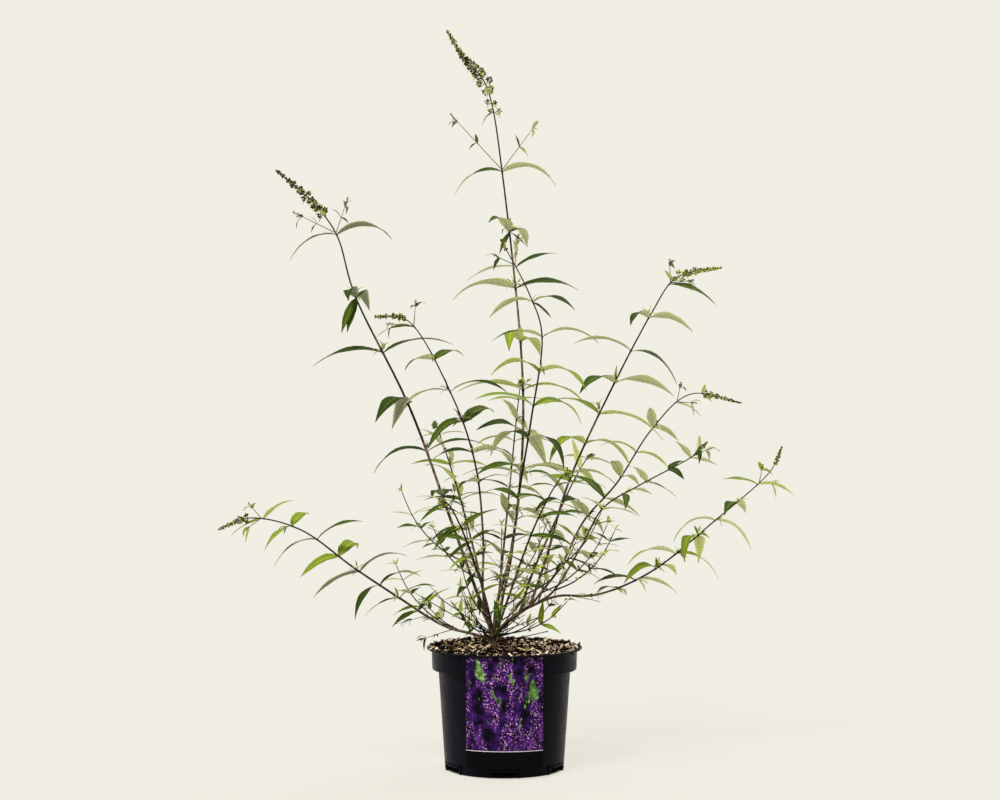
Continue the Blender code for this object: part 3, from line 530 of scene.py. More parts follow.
class Finish:
    """A material and its nodes, added and wired in plain calls."""

    def __init__(self, name, colour, roughness, **sockets):
        self.material = bpy.data.materials.new(name)
        self.material.use_nodes = True
        self.material.diffuse_color = (*colour, 1.0)
        self.tree = self.material.node_tree
        self.shader = self.tree.nodes["Principled BSDF"]
        self.shader.inputs["Base Color"].default_value = (*colour, 1.0)
        self.shader.inputs["Roughness"].default_value = roughness
        self.shader.inputs["Specular IOR Level"].default_value = MATT_GLOSS
        for socket, value in sockets.items():
            self.shader.inputs[socket.replace("_", " ")].default_value = value
        place = self.tree.nodes.new("ShaderNodeTexCoord")
        self.spot = place.outputs["Object"]
        self.flat = place.outputs["UV"]

    def node(self, kind, **inputs):
        """A node of a kind, with its named inputs wired or set."""
        node = self.tree.nodes.new("ShaderNode" + kind)
        for name, value in inputs.items():
            self.wire(value, node.inputs[name])
        return node

    def wire(self, value, socket):
        if isinstance(value, bpy.types.NodeSocket):
            self.tree.links.new(value, socket)
        elif isinstance(value, tuple) and socket.type == "RGBA":
            socket.default_value = (*value, 1.0)
        elif value is not None:
            socket.default_value = value

    def stretched(self, scale, source=None):
        return self.node("Mapping", Vector=source or self.spot, Scale=scale).outputs["Vector"]

    def grain(self, scale, detail=4.0, roughness=0.6, vector=None, distortion=0.0):
        node = self.node("TexNoise", Vector=vector or self.spot, Scale=scale, Detail=detail,
                         Roughness=roughness, Distortion=distortion)
        return node.outputs["Fac"]

    def ramp(self, value, *stops):
        node = self.node("ValToRGB", Fac=value)
        elements = node.color_ramp.elements
        while len(elements) < len(stops):
            elements.new(0.5)
        for element, (position, colour) in zip(elements, stops):
            element.position = position
            element.color = (*colour, 1.0) if isinstance(colour, tuple) else (colour, colour, colour, 1.0)
        return node.outputs["Color"]

    def mix(self, share, first, second):
        node = self.node("Mix")
        node.data_type = "RGBA"
        for value, index in ((share, 0), (first, 6), (second, 7)):
            self.wire(value, node.inputs[index])
        return node.outputs[2]

    def reckon(self, operation, *values):
        node = self.node("Math")
        node.operation = operation
        for value, socket in zip(values, node.inputs):
            self.wire(value, socket)
        return node.outputs[0]

    def times(self, first, second):
        return self.reckon("MULTIPLY", first, second)

    def plus(self, first, second):
        return self.reckon("ADD", first, second)

    def axes(self, vector):
        return self.node("SeparateXYZ", Vector=vector).outputs

    def complete(self, colour, roughness=None, height=None, depth=0.0002, strength=1.0):
        """Colour, roughness and relief of the surface. Returns the material."""
        self.wire(colour, self.shader.inputs["Base Color"])
        self.wire(roughness, self.shader.inputs["Roughness"])
        if height is not None:
            bump = self.node("Bump", Distance=depth, Strength=strength, Height=height)
            self.wire(bump.outputs["Normal"], self.shader.inputs["Normal"])
        return self.material


def blade_lines(leaf):
    """How far out a spot of the blade is, and its shares from 0 to 1 of the midrib and of the side veins."""
    across, along, _ = leaf.axes(leaf.flat)
    spread = leaf.reckon("ABSOLUTE", across)
    midrib = leaf.reckon("SUBTRACT", 1.0, leaf.times(spread, 11.0))
    phase = leaf.reckon("SUBTRACT", leaf.times(along, 13.0), leaf.times(spread, 1.3))
    veins = leaf.reckon("SUBTRACT", 1.0, leaf.times(leaf.reckon("PINGPONG", phase, 0.5), 7.0))
    return spread, leaf.reckon("MAXIMUM", midrib, 0.0), leaf.reckon("MAXIMUM", veins, 0.0)


def upper_material(name, colour, pale):
    """Upper face of a leaf: soft gloss, sunk pale veins, and a pale midrib that is partly its own paler
    colour and partly a painted highlight streak.
    """
    leaf = Finish(name, colour, 0.60, Specular_IOR_Level=LEAF_GLOSS)
    _, midrib, veins = blade_lines(leaf)
    tone = leaf.mix(leaf.grain(26.0, 3.0), scaled(colour, 0.72), scaled(colour, 1.30))
    tone = leaf.mix(leaf.times(veins, 0.28), tone, pale)
    # The midrib is mixed much paler than the side veins: partly its own colour, partly a painted highlight
    # streak.
    tone = leaf.mix(leaf.times(midrib, 0.85), tone, pale)
    quilt = leaf.plus(leaf.plus(veins, midrib), leaf.times(leaf.grain(900.0, 2.0), 0.5))
    roughness = leaf.ramp(leaf.grain(60.0), (0.3, 0.54), (0.7, 0.68))
    return leaf.complete(tone, roughness, leaf.times(quilt, -1.0), 0.0006, 0.55)


def under_material(name, colour, vein_colour, margin):
    """Underside of a leaf: pale mottled felt with raised veins, and a lighter margin that is a painted glow
    along its edge.
    """
    leaf = Finish(name, colour, 0.85)
    spread, midrib, veins = blade_lines(leaf)
    tone = leaf.mix(leaf.grain(30.0, 3.0), scaled(colour, 0.82), scaled(colour, 1.15))
    felt = leaf.ramp(leaf.grain(420.0, 3.0), (0.42, 0.0), (0.62, 0.55))
    tone = leaf.mix(felt, tone, scaled(colour, 0.66))
    tone = leaf.mix(leaf.times(veins, 0.45), tone, vein_colour)
    tone = leaf.mix(leaf.times(midrib, 0.80), tone, vein_colour)
    # Painted glow: the blade turns bright yellow-green towards its edge.
    tone = leaf.mix(leaf.ramp(spread, (0.62, 0.0), (0.86, 1.0)), tone, margin)
    return leaf.complete(tone, None, leaf.plus(veins, midrib), 0.0008, 0.6)


def bark_material(name, dark, light, stretch, depth):
    """Bark whose streaks run up the stem."""
    bark = Finish(name, light, 0.82)
    streaks = bark.grain(1.0, 6.0, 0.65, bark.stretched((420.0, 420.0, stretch)), 0.4)
    patches = bark.grain(38.0, 4.0, 0.6)
    tone = bark.ramp(streaks, (0.42, dark), (0.53, scaled(light, 0.7)), (0.64, light))
    tone = bark.mix(bark.ramp(patches, (0.45, 0.0), (0.70, 0.7)), tone, scaled(dark, 0.9))
    return bark.complete(tone, None, streaks, depth, 0.8)


def speckled_material(name, dark, light, roughness=0.9, scale=350.0):
    """Crumbs, fibres and buds: two tones in a fine grain."""
    speck = Finish(name, light, roughness)
    grain = speck.grain(scale, 4.0, 0.65)
    tone = speck.mix(speck.ramp(grain, (0.35, 0.0), (0.65, 1.0)), dark, light)
    return speck.complete(tone, None, grain, 0.0004, 0.6)


def pot_material():
    """Black moulded plastic: fine orange-peel skin, flow lines and a little dust."""
    plastic = Finish("black_plastic_moulded", (0.002, 0.002, 0.003), 0.30, Specular_IOR_Level=POT_GLOSS)
    dust = plastic.ramp(plastic.grain(22.0, 6.0, 0.7), (0.52, 0.0), (0.78, 1.0))
    flow = plastic.grain(1.0, 3.0, 0.5, plastic.stretched((60.0, 60.0, 900.0)))
    lines = plastic.ramp(flow, (0.66, 0.0), (0.72, 1.0))
    tone = plastic.mix(plastic.times(dust, 0.35), (0.0018, 0.0017, 0.0045), (0.008, 0.0070, 0.010))
    tone = plastic.mix(plastic.times(lines, 0.10), tone, (0.05, 0.05, 0.055))
    skin = plastic.plus(plastic.grain(1400.0, 2.0), plastic.times(plastic.grain(90.0, 2.0), 0.8))
    roughness = plastic.ramp(plastic.grain(45.0, 5.0), (0.30, 0.26), (0.75, 0.46))
    return plastic.complete(tone, roughness, skin, 0.00012, 0.5)


def card_material():
    """Print: florets in violet and lilac in drifts over dark leaves, above a plain dark band."""
    card = Finish("picture_card_print", (0.10, 0.04, 0.20), 0.32, Specular_IOR_Level=CARD_GLOSS)
    up = card.axes(card.flat)[1]
    face = card.stretched((CARD_WIDTH, POT_HEIGHT - CARD_FOOT_HEIGHT, 1.0), card.flat)
    drifts = card.grain(1.0, 2.0, 0.5, card.stretched((CARD_WIDTH * 44.0, 2.6, 1.0), card.flat), 0.5)
    shelter = card.ramp(drifts, (0.44, 0.0), (0.58, 1.0))
    florets = card.node("TexVoronoi", Vector=face, Scale=430.0).outputs
    petal = card.ramp(florets["Distance"], (0.12, 1.0), (0.60, 0.0))
    floret_tone = card.ramp(florets["Color"], (0.20, (0.055, 0.006, 0.150)), (0.45, (0.190, 0.030, 0.330)),
                            (0.66, (0.400, 0.120, 0.500)), (0.86, (0.850, 0.580, 0.800)))
    blurred = card.ramp(card.grain(60.0, 2.0, 0.5, face), (0.42, (0.0015, 0.0012, 0.0040)),
                        (0.72, (0.034, 0.006, 0.090)))
    field = card.mix(card.times(petal, shelter), blurred, floret_tone)
    patches = card.grain(1.0, 2.0, 0.5, card.stretched((8.0, 3.6, 1.0), card.flat), 0.6)
    leafy = card.ramp(card.plus(patches, card.times(up, 0.10)), (0.68, 0.0), (0.71, 1.0))
    green = card.ramp(card.grain(70.0, 4.0, 0.65, face), (0.38, (0.008, 0.028, 0.008)),
                      (0.52, (0.070, 0.150, 0.030)), (0.68, (0.300, 0.420, 0.150)))
    field = card.mix(leafy, field, green)
    field = card.mix(card.reckon("LESS_THAN", up, 0.150), field, (0.0010, 0.0010, 0.0014))
    return card.complete(card.mix(card.reckon("COMPARE", up, 0.156, 0.0025), field, (0.50, 0.48, 0.50)))


# Rule of the plant

def drooping_line(root, heading, roll, length, droop, count):
    """Point, up and side at even steps along a leaf that bends across its flat face under its own weight."""
    level_side = Vector((heading.y, -heading.x, 0.0)).normalized()
    side = Quaternion(heading, roll) @ level_side
    point = root.copy()
    line = []
    for _ in range(count + 1):
        line.append((point, side.cross(heading), side))
        flatness = math.sqrt(max(0.0, 1.0 - heading.z ** 2))
        half_bend = Quaternion(side, -droop * flatness / count / 2)
        heading = half_bend @ heading
        point = point + heading * (length / count)
        heading = half_bend @ heading
    return line


def side_and_back(heading):
    """Two directions square to a stem: one nearest to +X, the other square to both."""
    side = Vector((1, 0, 0)) - heading * heading.x
    if side.length < 0.3:
        side = Vector((0, 0, 1)) - heading * heading.z
    side.normalize()
    return side, heading.cross(side)


def aside(heading, turn):
    """The direction square to a stem at a turn about it."""
    side, back = side_and_back(heading)
    return side * math.cos(turn) + back * math.sin(turn)


def level(turn):
    """A level direction at a turn from +X."""
    return Vector((math.cos(turn), math.sin(turn), 0.0))


def node_distances(whip):
    """Distances along a whip of its pairs of leaves, further apart towards the tip."""
    near, far = whip.spacing
    distances = [whip.bare + FIRST_PAIR]
    for node in range(whip.nodes - 1):
        distances.append(distances[-1] + near + (far - near) * node / (whip.nodes - 2))
    return distances


def leaf_size(whip, node):
    """Leaves are smaller at the foot of a whip and towards its tip."""
    share = node / (whip.nodes - 1)
    foot = min(1.0, 0.62 + 1.3 * share)
    tip = 1.0 - (1.0 - whip.tip_leaf) * max(0.0, share - 0.6) / 0.4
    return whip.leaf * foot * tip


class Growth:
    """What has grown so far: leaves, twigs as (points, radii, finish) and buds."""

    def __init__(self):
        self.leaves = []
        self.twigs = []
        self.buds = []

    def leaf(self, mass, root, axis, azimuth, angle, roll, length, droop, tint):
        """A leaf of the rule, where the solid model has it, or none where the solid skipped it."""
        for turn, shrink in LEAF_TRIES:
            outward = aside(axis, azimuth + math.radians(turn))
            heading = axis * math.cos(angle) + outward * math.sin(angle)
            steps = 3 if length * shrink > LONG_LEAF else 2
            line = drooping_line(root, heading, roll, length * shrink, droop, steps)
            if all(mass.reaches(point) for point, _, _ in line[1:]):
                self.leaves.append(Leaf(root, heading, roll, length * shrink, droop, tint))
                return

    def young_leaf(self, root, heading, length, tint, chance):
        """A small leaf that only the finer twigs carry."""
        self.leaves.append(Leaf(root, heading.normalized(), chance.uniform(-0.6, 0.6), length,
                                math.radians(chance.uniform(30, 110)), tint))

    def twig(self, start, heading, length, radius, sag, finish, steps=5):
        """A thin twig that bends down a little along its length. Returns its points and last heading."""
        points = [start.copy()]
        for _ in range(steps):
            heading = (heading + DOWN * (sag / steps)).normalized()
            points.append(points[-1] + heading * (length / steps))
        radii = [radius * (1.0 - 0.5 * i / steps) for i in range(steps + 1)]
        self.twigs.append((points, radii, finish))
        return points, heading

    def tuft(self, root, heading, size, tint, chance):
        """Young leaves in a leaf joint: a stub with a pair and a smaller upright pair at its tip."""
        stub = size * chance.uniform(0.20, 0.55)
        points, heading = self.twig(root, heading, stub, STUB_RADIUS, -0.1, GREEN_TWIG, 2)
        turn = chance.uniform(0, math.pi)
        for share, shrink, spread in ((0.55, 1.0, 1.0), (1.0, 0.62, 0.45)):
            spot = points[0].lerp(points[-1], share)
            for half in BOTH_SIDES:
                aim = heading + aside(heading, turn + half) * spread
                self.young_leaf(spot, aim, size * shrink * chance.uniform(0.7, 1.1), tint, chance)
            turn += math.pi / 2

    def bud_cluster(self, root, outward, reach, count, size, tones, chance):
        """A short stalk with a rounded knot of unopened buds."""
        tip = root + outward * reach
        self.twigs.append(([root, root.lerp(tip, 0.5), tip], STALK_RADII, GREEN_TWIG))
        for index in range(count):
            turn = BUD_TURN * index + chance.uniform(-0.4, 0.4)
            tilt = BUD_TILT * math.sqrt((index + 0.5) / count)
            aim = outward * math.cos(tilt) + aside(outward, turn) * math.sin(tilt)
            length = size * chance.uniform(0.75, 1.2)
            centre = tip + aim * (reach * 0.30 + length * 0.35)
            self.buds.append((centre, aim.normalized(), length, length * BUD_WAIST, chance.choice(tones)))

    def spike(self, route, start, radius, tones, chance):
        """A flower spike in bud: opposite clusters, closer and smaller towards the tip."""
        length = route.length - start
        distance = start + 0.004
        turn = chance.uniform(0, math.pi)
        while distance < route.length - 0.003:
            share = max(0.0, (distance - start) / length)
            point, heading = route.at(distance)
            reach = radius * (1.0 - 0.86 * share) * chance.uniform(0.65, 1.20) * 1.05
            count = max(5, round((6.0 + radius * 1300) * (1.0 - 0.68 * share)))
            size = 0.0022 + radius * 0.18 * (1.0 - 0.72 * share)
            for half in BOTH_SIDES:
                aim = (aside(heading, turn + half) + heading * (0.45 + 0.8 * share)).normalized()
                self.bud_cluster(point, aim, reach, count, size * chance.uniform(0.9, 1.2), tones, chance)
                if share < 0.45:
                    bract = radius * chance.uniform(0.9, 1.7)
                    self.young_leaf(point, aim - heading * 0.3, bract, YOUNG, chance)
            turn += math.pi / 2 + chance.uniform(-0.2, 0.2)
            step = 0.0024 + radius * chance.uniform(0.62, 0.98) * (1.0 - 0.76 * share)
            distance += LOOSE_STEP if length > LOOSE_SPIKE and distance < start + LOOSE_FOOT else step

    def loose_clusters(self, route, start, radius, tones, chance):
        """Opposite knots of buds on the stem below a long spike, with dark bracts and one hanging leaf."""
        for drop in LOOSE_DROPS:
            point, heading = route.at(start - drop)
            for outward in (Vector((-0.9, -0.4, 0.0)), Vector((0.9, 0.4, 0.0))):
                aim = (outward + heading * chance.uniform(0.1, 0.7)).normalized()
                self.bud_cluster(point, aim, radius * chance.uniform(0.5, 0.9), 12, 0.0040, tones, chance)
                self.young_leaf(point, outward - UP * 0.2, chance.uniform(0.012, 0.020), DEEP, chance)
        heading = Vector((-0.84, -0.36, -0.40)).normalized()
        # This hanging leaf takes the painted-shade tint.
        self.leaves.append(Leaf(point, heading, 0.5, 0.042, math.radians(66), SHADED))

    def side_shoot(self, mass, root, stem_heading, azimuth, length, chance, tint):
        """A short twig in a leaf joint with small leaves along its outer half and a few buds at its tip."""
        side, back = side_and_back(stem_heading)
        heading = (stem_heading * 0.72 + aside(stem_heading, azimuth) * 0.7).normalized()
        tip = root + heading * length
        if not mass.reaches(tip):
            return
        self.twigs.append(([root + heading * length * i / 4 for i in range(5)], TWIG_RADII, GREEN_TWIG))
        for share in (0.55, 0.97) if length > SHORT_SHOOT else (0.94,):
            for half in BOTH_SIDES:
                self.leaf(mass, root + heading * length * share, heading,
                          azimuth + half + chance.uniform(-0.5, 0.5) + share, TWIG_LEAF_ANGLE,
                          chance.uniform(-0.5, 0.5), TWIG_LEAF * chance.uniform(0.8, 1.25), LEAF_DROOP, tint)
        tip_chance = random.Random(int(length * 1e6))
        for step in range(7 if length > SHORT_SHOOT else 4):
            aim = heading + side * tip_chance.uniform(-0.5, 0.5) + back * tip_chance.uniform(-0.5, 0.5)
            self.bud_cluster(tip + heading * 0.0028 * step, aim.normalized(), 0.0016, 3, 0.0026, MIXED_BUDS,
                             tip_chance)
        if length > SHORT_SHOOT:
            for half in BOTH_SIDES:
                aim = heading + aside(stem_heading, half + 1.2) * 0.8
                self.young_leaf(tip - heading * 0.002, aim, 0.016, tint, tip_chance)

    def pair(self, mass, whip, stem_point, heading, turn, length, seed, tint):
        """Two opposite leaves at one joint, that bend more the longer they are."""
        axis = heading.lerp(UP, whip.lift).normalized()
        weight = min(1.0, length / HEAVY_LEAF)
        for half in (0, 1):
            chance = random.Random(seed + half)
            azimuth = math.radians(turn + 180 * half) + chance.uniform(-0.2, 0.2)
            self.leaf(mass, stem_point + heading * LEAF_ROOT_SHIFT * half, axis, azimuth,
                      math.radians(whip.angle) * chance.uniform(0.9, 1.1),
                      chance.uniform(-LEAF_ROLL, LEAF_ROLL), length * chance.uniform(0.9, 1.1),
                      LEAF_DROOP * weight * chance.uniform(0.60, 1.25), tint)

    def joint_tufts(self, stem_point, heading, turn, length, tint, spray):
        """A tuft on either side of a leaf joint, or none, as chance has it."""
        for half in BOTH_SIDES:
            outward = aside(heading, math.radians(turn) + half + spray.uniform(-0.4, 0.4))
            size = min(0.028, length * spray.uniform(0.12, 0.32))
            if spray.random() <= TUFT_SHARE:
                self.tuft(stem_point + heading * 0.002, heading + outward * 0.7, size,
                          spray.choice((tint, FRESH, YOUNG)), spray)

    def leafy_part(self, mass, whip, route, tints):
        """The leaves, tufts and side shoots of a whip's leafy part, counted from its top joint down."""
        for node, distance in enumerate(node_distances(whip)):
            stem_point, heading = route.at(distance)
            from_top = whip.nodes - 1 - node
            turn = whip.turns[from_top % 2]
            length = leaf_size(whip, node)
            seed = whip.seed * 1000 + node * 10
            spray = random.Random(seed + 9)
            tint = spray.choice(tints)
            self.pair(mass, whip, stem_point, heading, turn, length, seed, tint)
            if not whip.side_shoot or from_top > 0:
                self.joint_tufts(stem_point, heading, turn, length, tint, spray)
                continue
            for half in (0, 1):
                chance = random.Random(seed + 5 + half)
                root = stem_point + heading * (TWIG_RISE + LEAF_ROOT_SHIFT * half)
                azimuth = math.radians(turn + 180 * half) + TWIG_TURN
                reach = whip.side_shoot * chance.uniform(0.85, 1.1)
                self.side_shoot(mass, root, heading, azimuth, reach, chance, tint)
        if whip.spike > BRACT_SPIKE:
            stem_point, heading = route.at(route.length - whip.spike)
            self.pair(mass, whip, stem_point, heading, whip.turns[1], BRACT, whip.seed * 1000 + 900, FRESH)


def shoot_route(mass, foot, outward, length, lifts, chance):
    """Route of a low shoot: of the aims that the rule tries, the one that the solid took."""
    for attempt in range(SHOOT_TRIES):
        aim = level(outward + chance.uniform(-1.0, 1.0) * (0.35 + 0.15 * attempt))
        corners = [foot]
        for lift in lifts:
            step = aim * math.cos(math.radians(lift)) + UP * math.sin(math.radians(lift))
            corners.append(corners[-1] + step * length / len(lifts))
        route = Route([corner / MM for corner in corners])
        if all(mass.reaches(route.at(route.length * share)[0], SHOOT_NEAR) for share in (0.4, 0.7, 0.99)):
            return route


def low_shoots(routes):
    """Each low shoot as (pattern of growth, route, its solid): one on each whip, then a ring at the foot."""
    for index in range(len(WHIPS) + FOOT_SHOOTS):
        ring = index - len(WHIPS)
        if ring < 0:
            chance = random.Random(500 + index)
            foot, _ = routes[WHIPS[index].name].at(chance.uniform(*LOW_SHOOT_FOOT))
            outward = math.atan2(foot.y - STUMP_CENTRE.y, foot.x - STUMP_CENTRE.x)
            growth, lengths, lifts = LOW_SHOOT, LOW_SHOOT_LENGTH, LOW_SHOOT_LIFTS
        else:
            chance = random.Random(700 + ring)
            foot = STUMP_CENTRE + UP * chance.uniform(*FOOT_SHOOT_RISE)
            outward = math.tau * (ring + 0.5) / FOOT_SHOOTS
            growth, lengths, lifts = FOOT_SHOOT, FOOT_SHOOT_LENGTH, FOOT_SHOOT_LIFTS
        name = f"low_shoot_{index + 1:02d}"
        mass = Mass(name)
        route = shoot_route(mass, foot, outward, chance.uniform(*lengths), lifts, chance)
        yield replace(growth, name=name, seed=100 + index), route, mass


# Meshes of the plant

def blade_pattern(rows, columns):
    """A flat blade: across from -1 to 1 on X, along from 0 to 1 on Y, its underside at Z = -1."""
    cage = bmesh.new()
    bmesh.ops.create_grid(cage, x_segments=columns, y_segments=rows, size=1.0,
                          matrix=Matrix.Translation((0, 0.5, 0)) @ Matrix.Diagonal((1, 0.5, 1, 1)))
    bmesh.ops.solidify(cage, geom=cage.faces[:], thickness=1.0)
    bmesh.ops.recalc_face_normals(cage, faces=cage.faces)
    return Pattern(cage)


def bar_pattern(sides, lengths):
    """A round bar of radius 1 on Z, cut into even lengths from 0 to 1."""
    cage = bmesh.new()
    bmesh.ops.create_cone(cage, cap_ends=True, segments=sides, radius1=1.0, radius2=1.0, depth=1.0)
    bmesh.ops.translate(cage, verts=cage.verts, vec=(0, 0, 0.5))
    long_edges = [edge for edge in cage.edges if abs(edge.verts[0].co.z - edge.verts[1].co.z) > 0.5]
    if lengths > 1:
        bmesh.ops.subdivide_edges(cage, edges=long_edges, cuts=lengths - 1)
    bmesh.ops.recalc_face_normals(cage, faces=cage.faces)
    return Pattern(cage)


def ball_pattern():
    """A small round ball for a bud."""
    cage = bmesh.new()
    bmesh.ops.create_uvsphere(cage, u_segments=6, v_segments=5, radius=1.0)
    return Pattern(cage)


def half_width(t, width):
    """Half width of a lance-shaped leaf at shares t of its length, drawn out into a fine tip."""
    shape = 0.5 * width * np.sin(np.pi * t ** 0.65).clip(0.0)
    return np.maximum(shape, LEAF_ROOT_HALF_WIDTH * (1.0 - t) ** 2 + 0.0002)


def slenderness_of(length):
    """Width of a leaf by its length: the long ones are slimmer."""
    share = min(1.0, max(0.0, (length - 0.055) / 0.055))
    return LEAF_SLENDERNESS - 0.030 * share


def lay_leaf(pile, pattern, rows, leaf, chance):
    """A blade laid along its drooping line: folded on its midrib, curled at its edges, waved and rippled."""
    line = drooping_line(leaf.root, leaf.heading, leaf.roll, leaf.length, leaf.droop, rows)
    points, ups, sides = (np.array(part) for part in zip(*line))
    across, t, below = pattern.corners.T
    row = np.rint(t * rows).astype(int)
    half = half_width(t, leaf.length * slenderness_of(leaf.length))
    wave_turn = chance.uniform(0, math.tau)
    wave = 0.10 * half * np.sin(t * 9.0 + wave_turn) * across
    rise = half * (BLADE_FOLD * np.abs(across) - BLADE_CURL * across ** 4) + wave
    thickness = max(BLADE_THICKNESS, leaf.length * 0.005) * (1.0 - 0.6 * np.abs(across))
    ripple = 1.0 + 0.05 * np.sin(t * 40.0 + wave_turn * 2) * np.abs(across)
    corners = (points[row] + sides[row] * (across * half * ripple)[:, None]
               + ups[row] * (rise + below * thickness)[:, None])
    upper, under = LEAF_TINTS[leaf.tint]
    pile.lay(pattern, corners, np.where(pattern.middles[:, 2] < -0.75, under, upper))


def carried_sides(points):
    """Headings along a line, and sides carried along it without twist."""
    headings = [(after - before).normalized() for before, after in zip(points, points[1:])]
    headings.append(headings[-1])
    headings = headings[:1] + [(before + after).normalized() for before, after in zip(headings, headings[1:])]
    sides = [side_and_back(headings[0])[0]]
    for before, after in zip(headings, headings[1:]):
        turned = before.rotation_difference(after) @ sides[-1]
        sides.append((turned - after * turned.dot(after)).normalized())
    return headings, sides


def tapering(route, radii, step):
    """Points along a whole route, about a step apart, and radii that go evenly from its foot to its tip."""
    distances = route.stations(0.0, route.length, step)
    thick, thin = radii
    return ([route.at(distance)[0] for distance in distances],
            [thick + (thin - thick) * distance / route.length for distance in distances])


def lay_bar(pile, points, radii, sides_count, finishes, relief=0.0):
    """A round bar through points. Relief roughens its skin by a share of its radius."""
    lengths = len(points) - 1
    key = (sides_count, lengths)
    if key not in BARS:
        BARS[key] = bar_pattern(*key)
    pattern = BARS[key]
    headings, sides = carried_sides(points)
    backs = [heading.cross(side) for heading, side in zip(headings, sides)]
    row = np.rint(pattern.corners[:, 2] * lengths).astype(int)
    centre = np.array(points)[row]
    reach = np.array(radii)[row]
    if relief:
        skin = [noise.fractal(Vector((x * 2.2, y * 2.2, z * 90.0)), 0.8, 2.0, 3)
                for x, y, z in np.column_stack((pattern.corners[:, :2], centre[:, 2]))]
        reach = reach * (1.0 + relief * np.array(skin))
    corners = (centre + np.array(sides)[row] * (pattern.corners[:, 0] * reach)[:, None]
               + np.array(backs)[row] * (pattern.corners[:, 1] * reach)[:, None])
    if isinstance(finishes, list):
        finishes = np.array(finishes)[np.minimum((pattern.middles[:, 2] * lengths).astype(int), lengths - 1)]
    pile.lay(pattern, corners, finishes)


def stem_bar(pile, whip, route, end):
    """A whip's whole stem, swollen at its leaf joints, that turns from bark to green towards its tip."""
    joints = node_distances(whip)
    turns = BARK_TURNS.get(whip.name, USUAL_BARK_TURNS)
    distances = set(route.stations(0.0, end, STEM_STEP))
    for joint in joints:
        distances = {distance for distance in distances if abs(distance - joint) > 1.6 * JOINT_REACH}
        distances |= {joint + JOINT_REACH * step for step in (-1.5, -0.6, 0.0, 0.6, 1.5)}
    thick, thin = whip.radii
    points = []
    radii = []
    finishes = []
    for distance in sorted(distance for distance in distances if distance <= end):
        share = distance / route.length
        swell = sum(math.exp(-((distance - joint) / JOINT_REACH) ** 2) for joint in joints)
        foot = max(0.0, 1.0 - distance / 0.03)
        points.append(route.at(distance)[0])
        fullness = 1.0 + JOINT_SWELL * swell * (0.5 + 0.5 * share) + 0.20 * foot
        radii.append((thick + (thin - thick) * share) * fullness)
        finishes.append(bisect.bisect_right(turns, share) + 1)
    lay_bar(pile, points, radii, STEM_SIDES, finishes[:-1], 0.10)


def stump_and_limbs(pile):
    """The woody foot: strands grown into one another, its two limbs, and pruned stubs."""
    core = Route(STUMP_ROUTE)
    last = len(STUMP_RADII) - 1
    for strand in range(STRANDS):
        chance = random.Random(60 + strand)
        points = []
        radii = []
        for distance in core.stations(0.0, core.length, 0.0016):
            place = distance / core.length * last
            index = min(int(place), last - 1)
            radius = STUMP_RADII[index] + (STUMP_RADII[index + 1] - STUMP_RADII[index]) * (place - index)
            turn = math.tau * strand / STRANDS + 9.0 * distance + 0.25 * math.sin(90.0 * distance + strand)
            points.append(core.at(distance)[0] + level(turn) * radius * STRAND_OFFSET)
            radii.append(radius * STRAND_SHARE * (1.0 + 0.12 * math.sin(260.0 * distance + 2.0 * strand)))
        lay_bar(pile, points, radii, 16, chance.choice((OLD_BARK, OLD_BARK, BROWN_BARK)), 0.22)
    for corners in (LEFT_LIMB_ROUTE, RIGHT_LIMB_ROUTE):
        lay_bar(pile, *tapering(Route(corners), LIMB_RADII, 0.002), 18, BROWN_BARK, 0.16)
    for azimuth, rise, length, radius in STUBS:
        outward = (level(math.radians(azimuth)) + UP * 0.9).normalized()
        start = STUMP_CENTRE + UP * rise
        lay_bar(pile, [start + outward * (length * i / 8) for i in range(9)],
                [radius * (1.1 - 0.03 * i) for i in range(9)], 14, OLD_BARK, 0.16)


def bark_shreds(growth):
    """Strips of bark that peel off the woody foot."""
    chance = random.Random(77)
    for _ in range(SHREDS):
        out = level(chance.uniform(0, math.tau))
        start = STUMP_CENTRE + out * chance.uniform(0.0062, 0.0084) + UP * chance.uniform(-0.004, 0.014)
        heading = (UP + out * chance.uniform(0.05, 0.45)).normalized()
        growth.twig(start, heading, chance.uniform(0.008, 0.026), chance.uniform(0.0005, 0.0011),
                    chance.uniform(-0.3, 0.9), SHRED, 4)


def foot_twigs(growth, chance):
    """Thin forked twigs, mostly bare, in a ring around the stump."""
    for index in range(FOOT_TWIGS):
        out = level(math.tau * (index + chance.uniform(0.0, 0.9)) / FOOT_TWIGS)
        heading = (out + UP * chance.uniform(0.15, 0.9)).normalized()
        length = chance.uniform(0.070, 0.145)
        start = STUMP_CENTRE + out * 0.006 + UP * chance.uniform(-0.006, 0.016)
        points, heading = growth.twig(start, heading, length, chance.uniform(0.0009, 0.0014),
                                      chance.uniform(-0.5, 0.1), DARK_TWIG, 8)
        side, back = side_and_back(heading)
        for spot in points[3::2]:
            fork = heading + UP * 0.3 + side * chance.uniform(-0.9, 0.9) + back * chance.uniform(-0.9, 0.9)
            if chance.random() < FORK_SHARE:
                growth.twig(spot, fork.normalized(), chance.uniform(0.012, 0.040), FORK_RADIUS,
                            chance.uniform(-0.4, 0.4), DARK_TWIG, 4)
        for spot in points[4::2]:
            if chance.random() < FOOT_TUFT_SHARE:
                size = chance.uniform(0.010, 0.022)
                growth.tuft(spot, heading + out * 0.3, size, chance.choice((MID, FRESH)), chance)


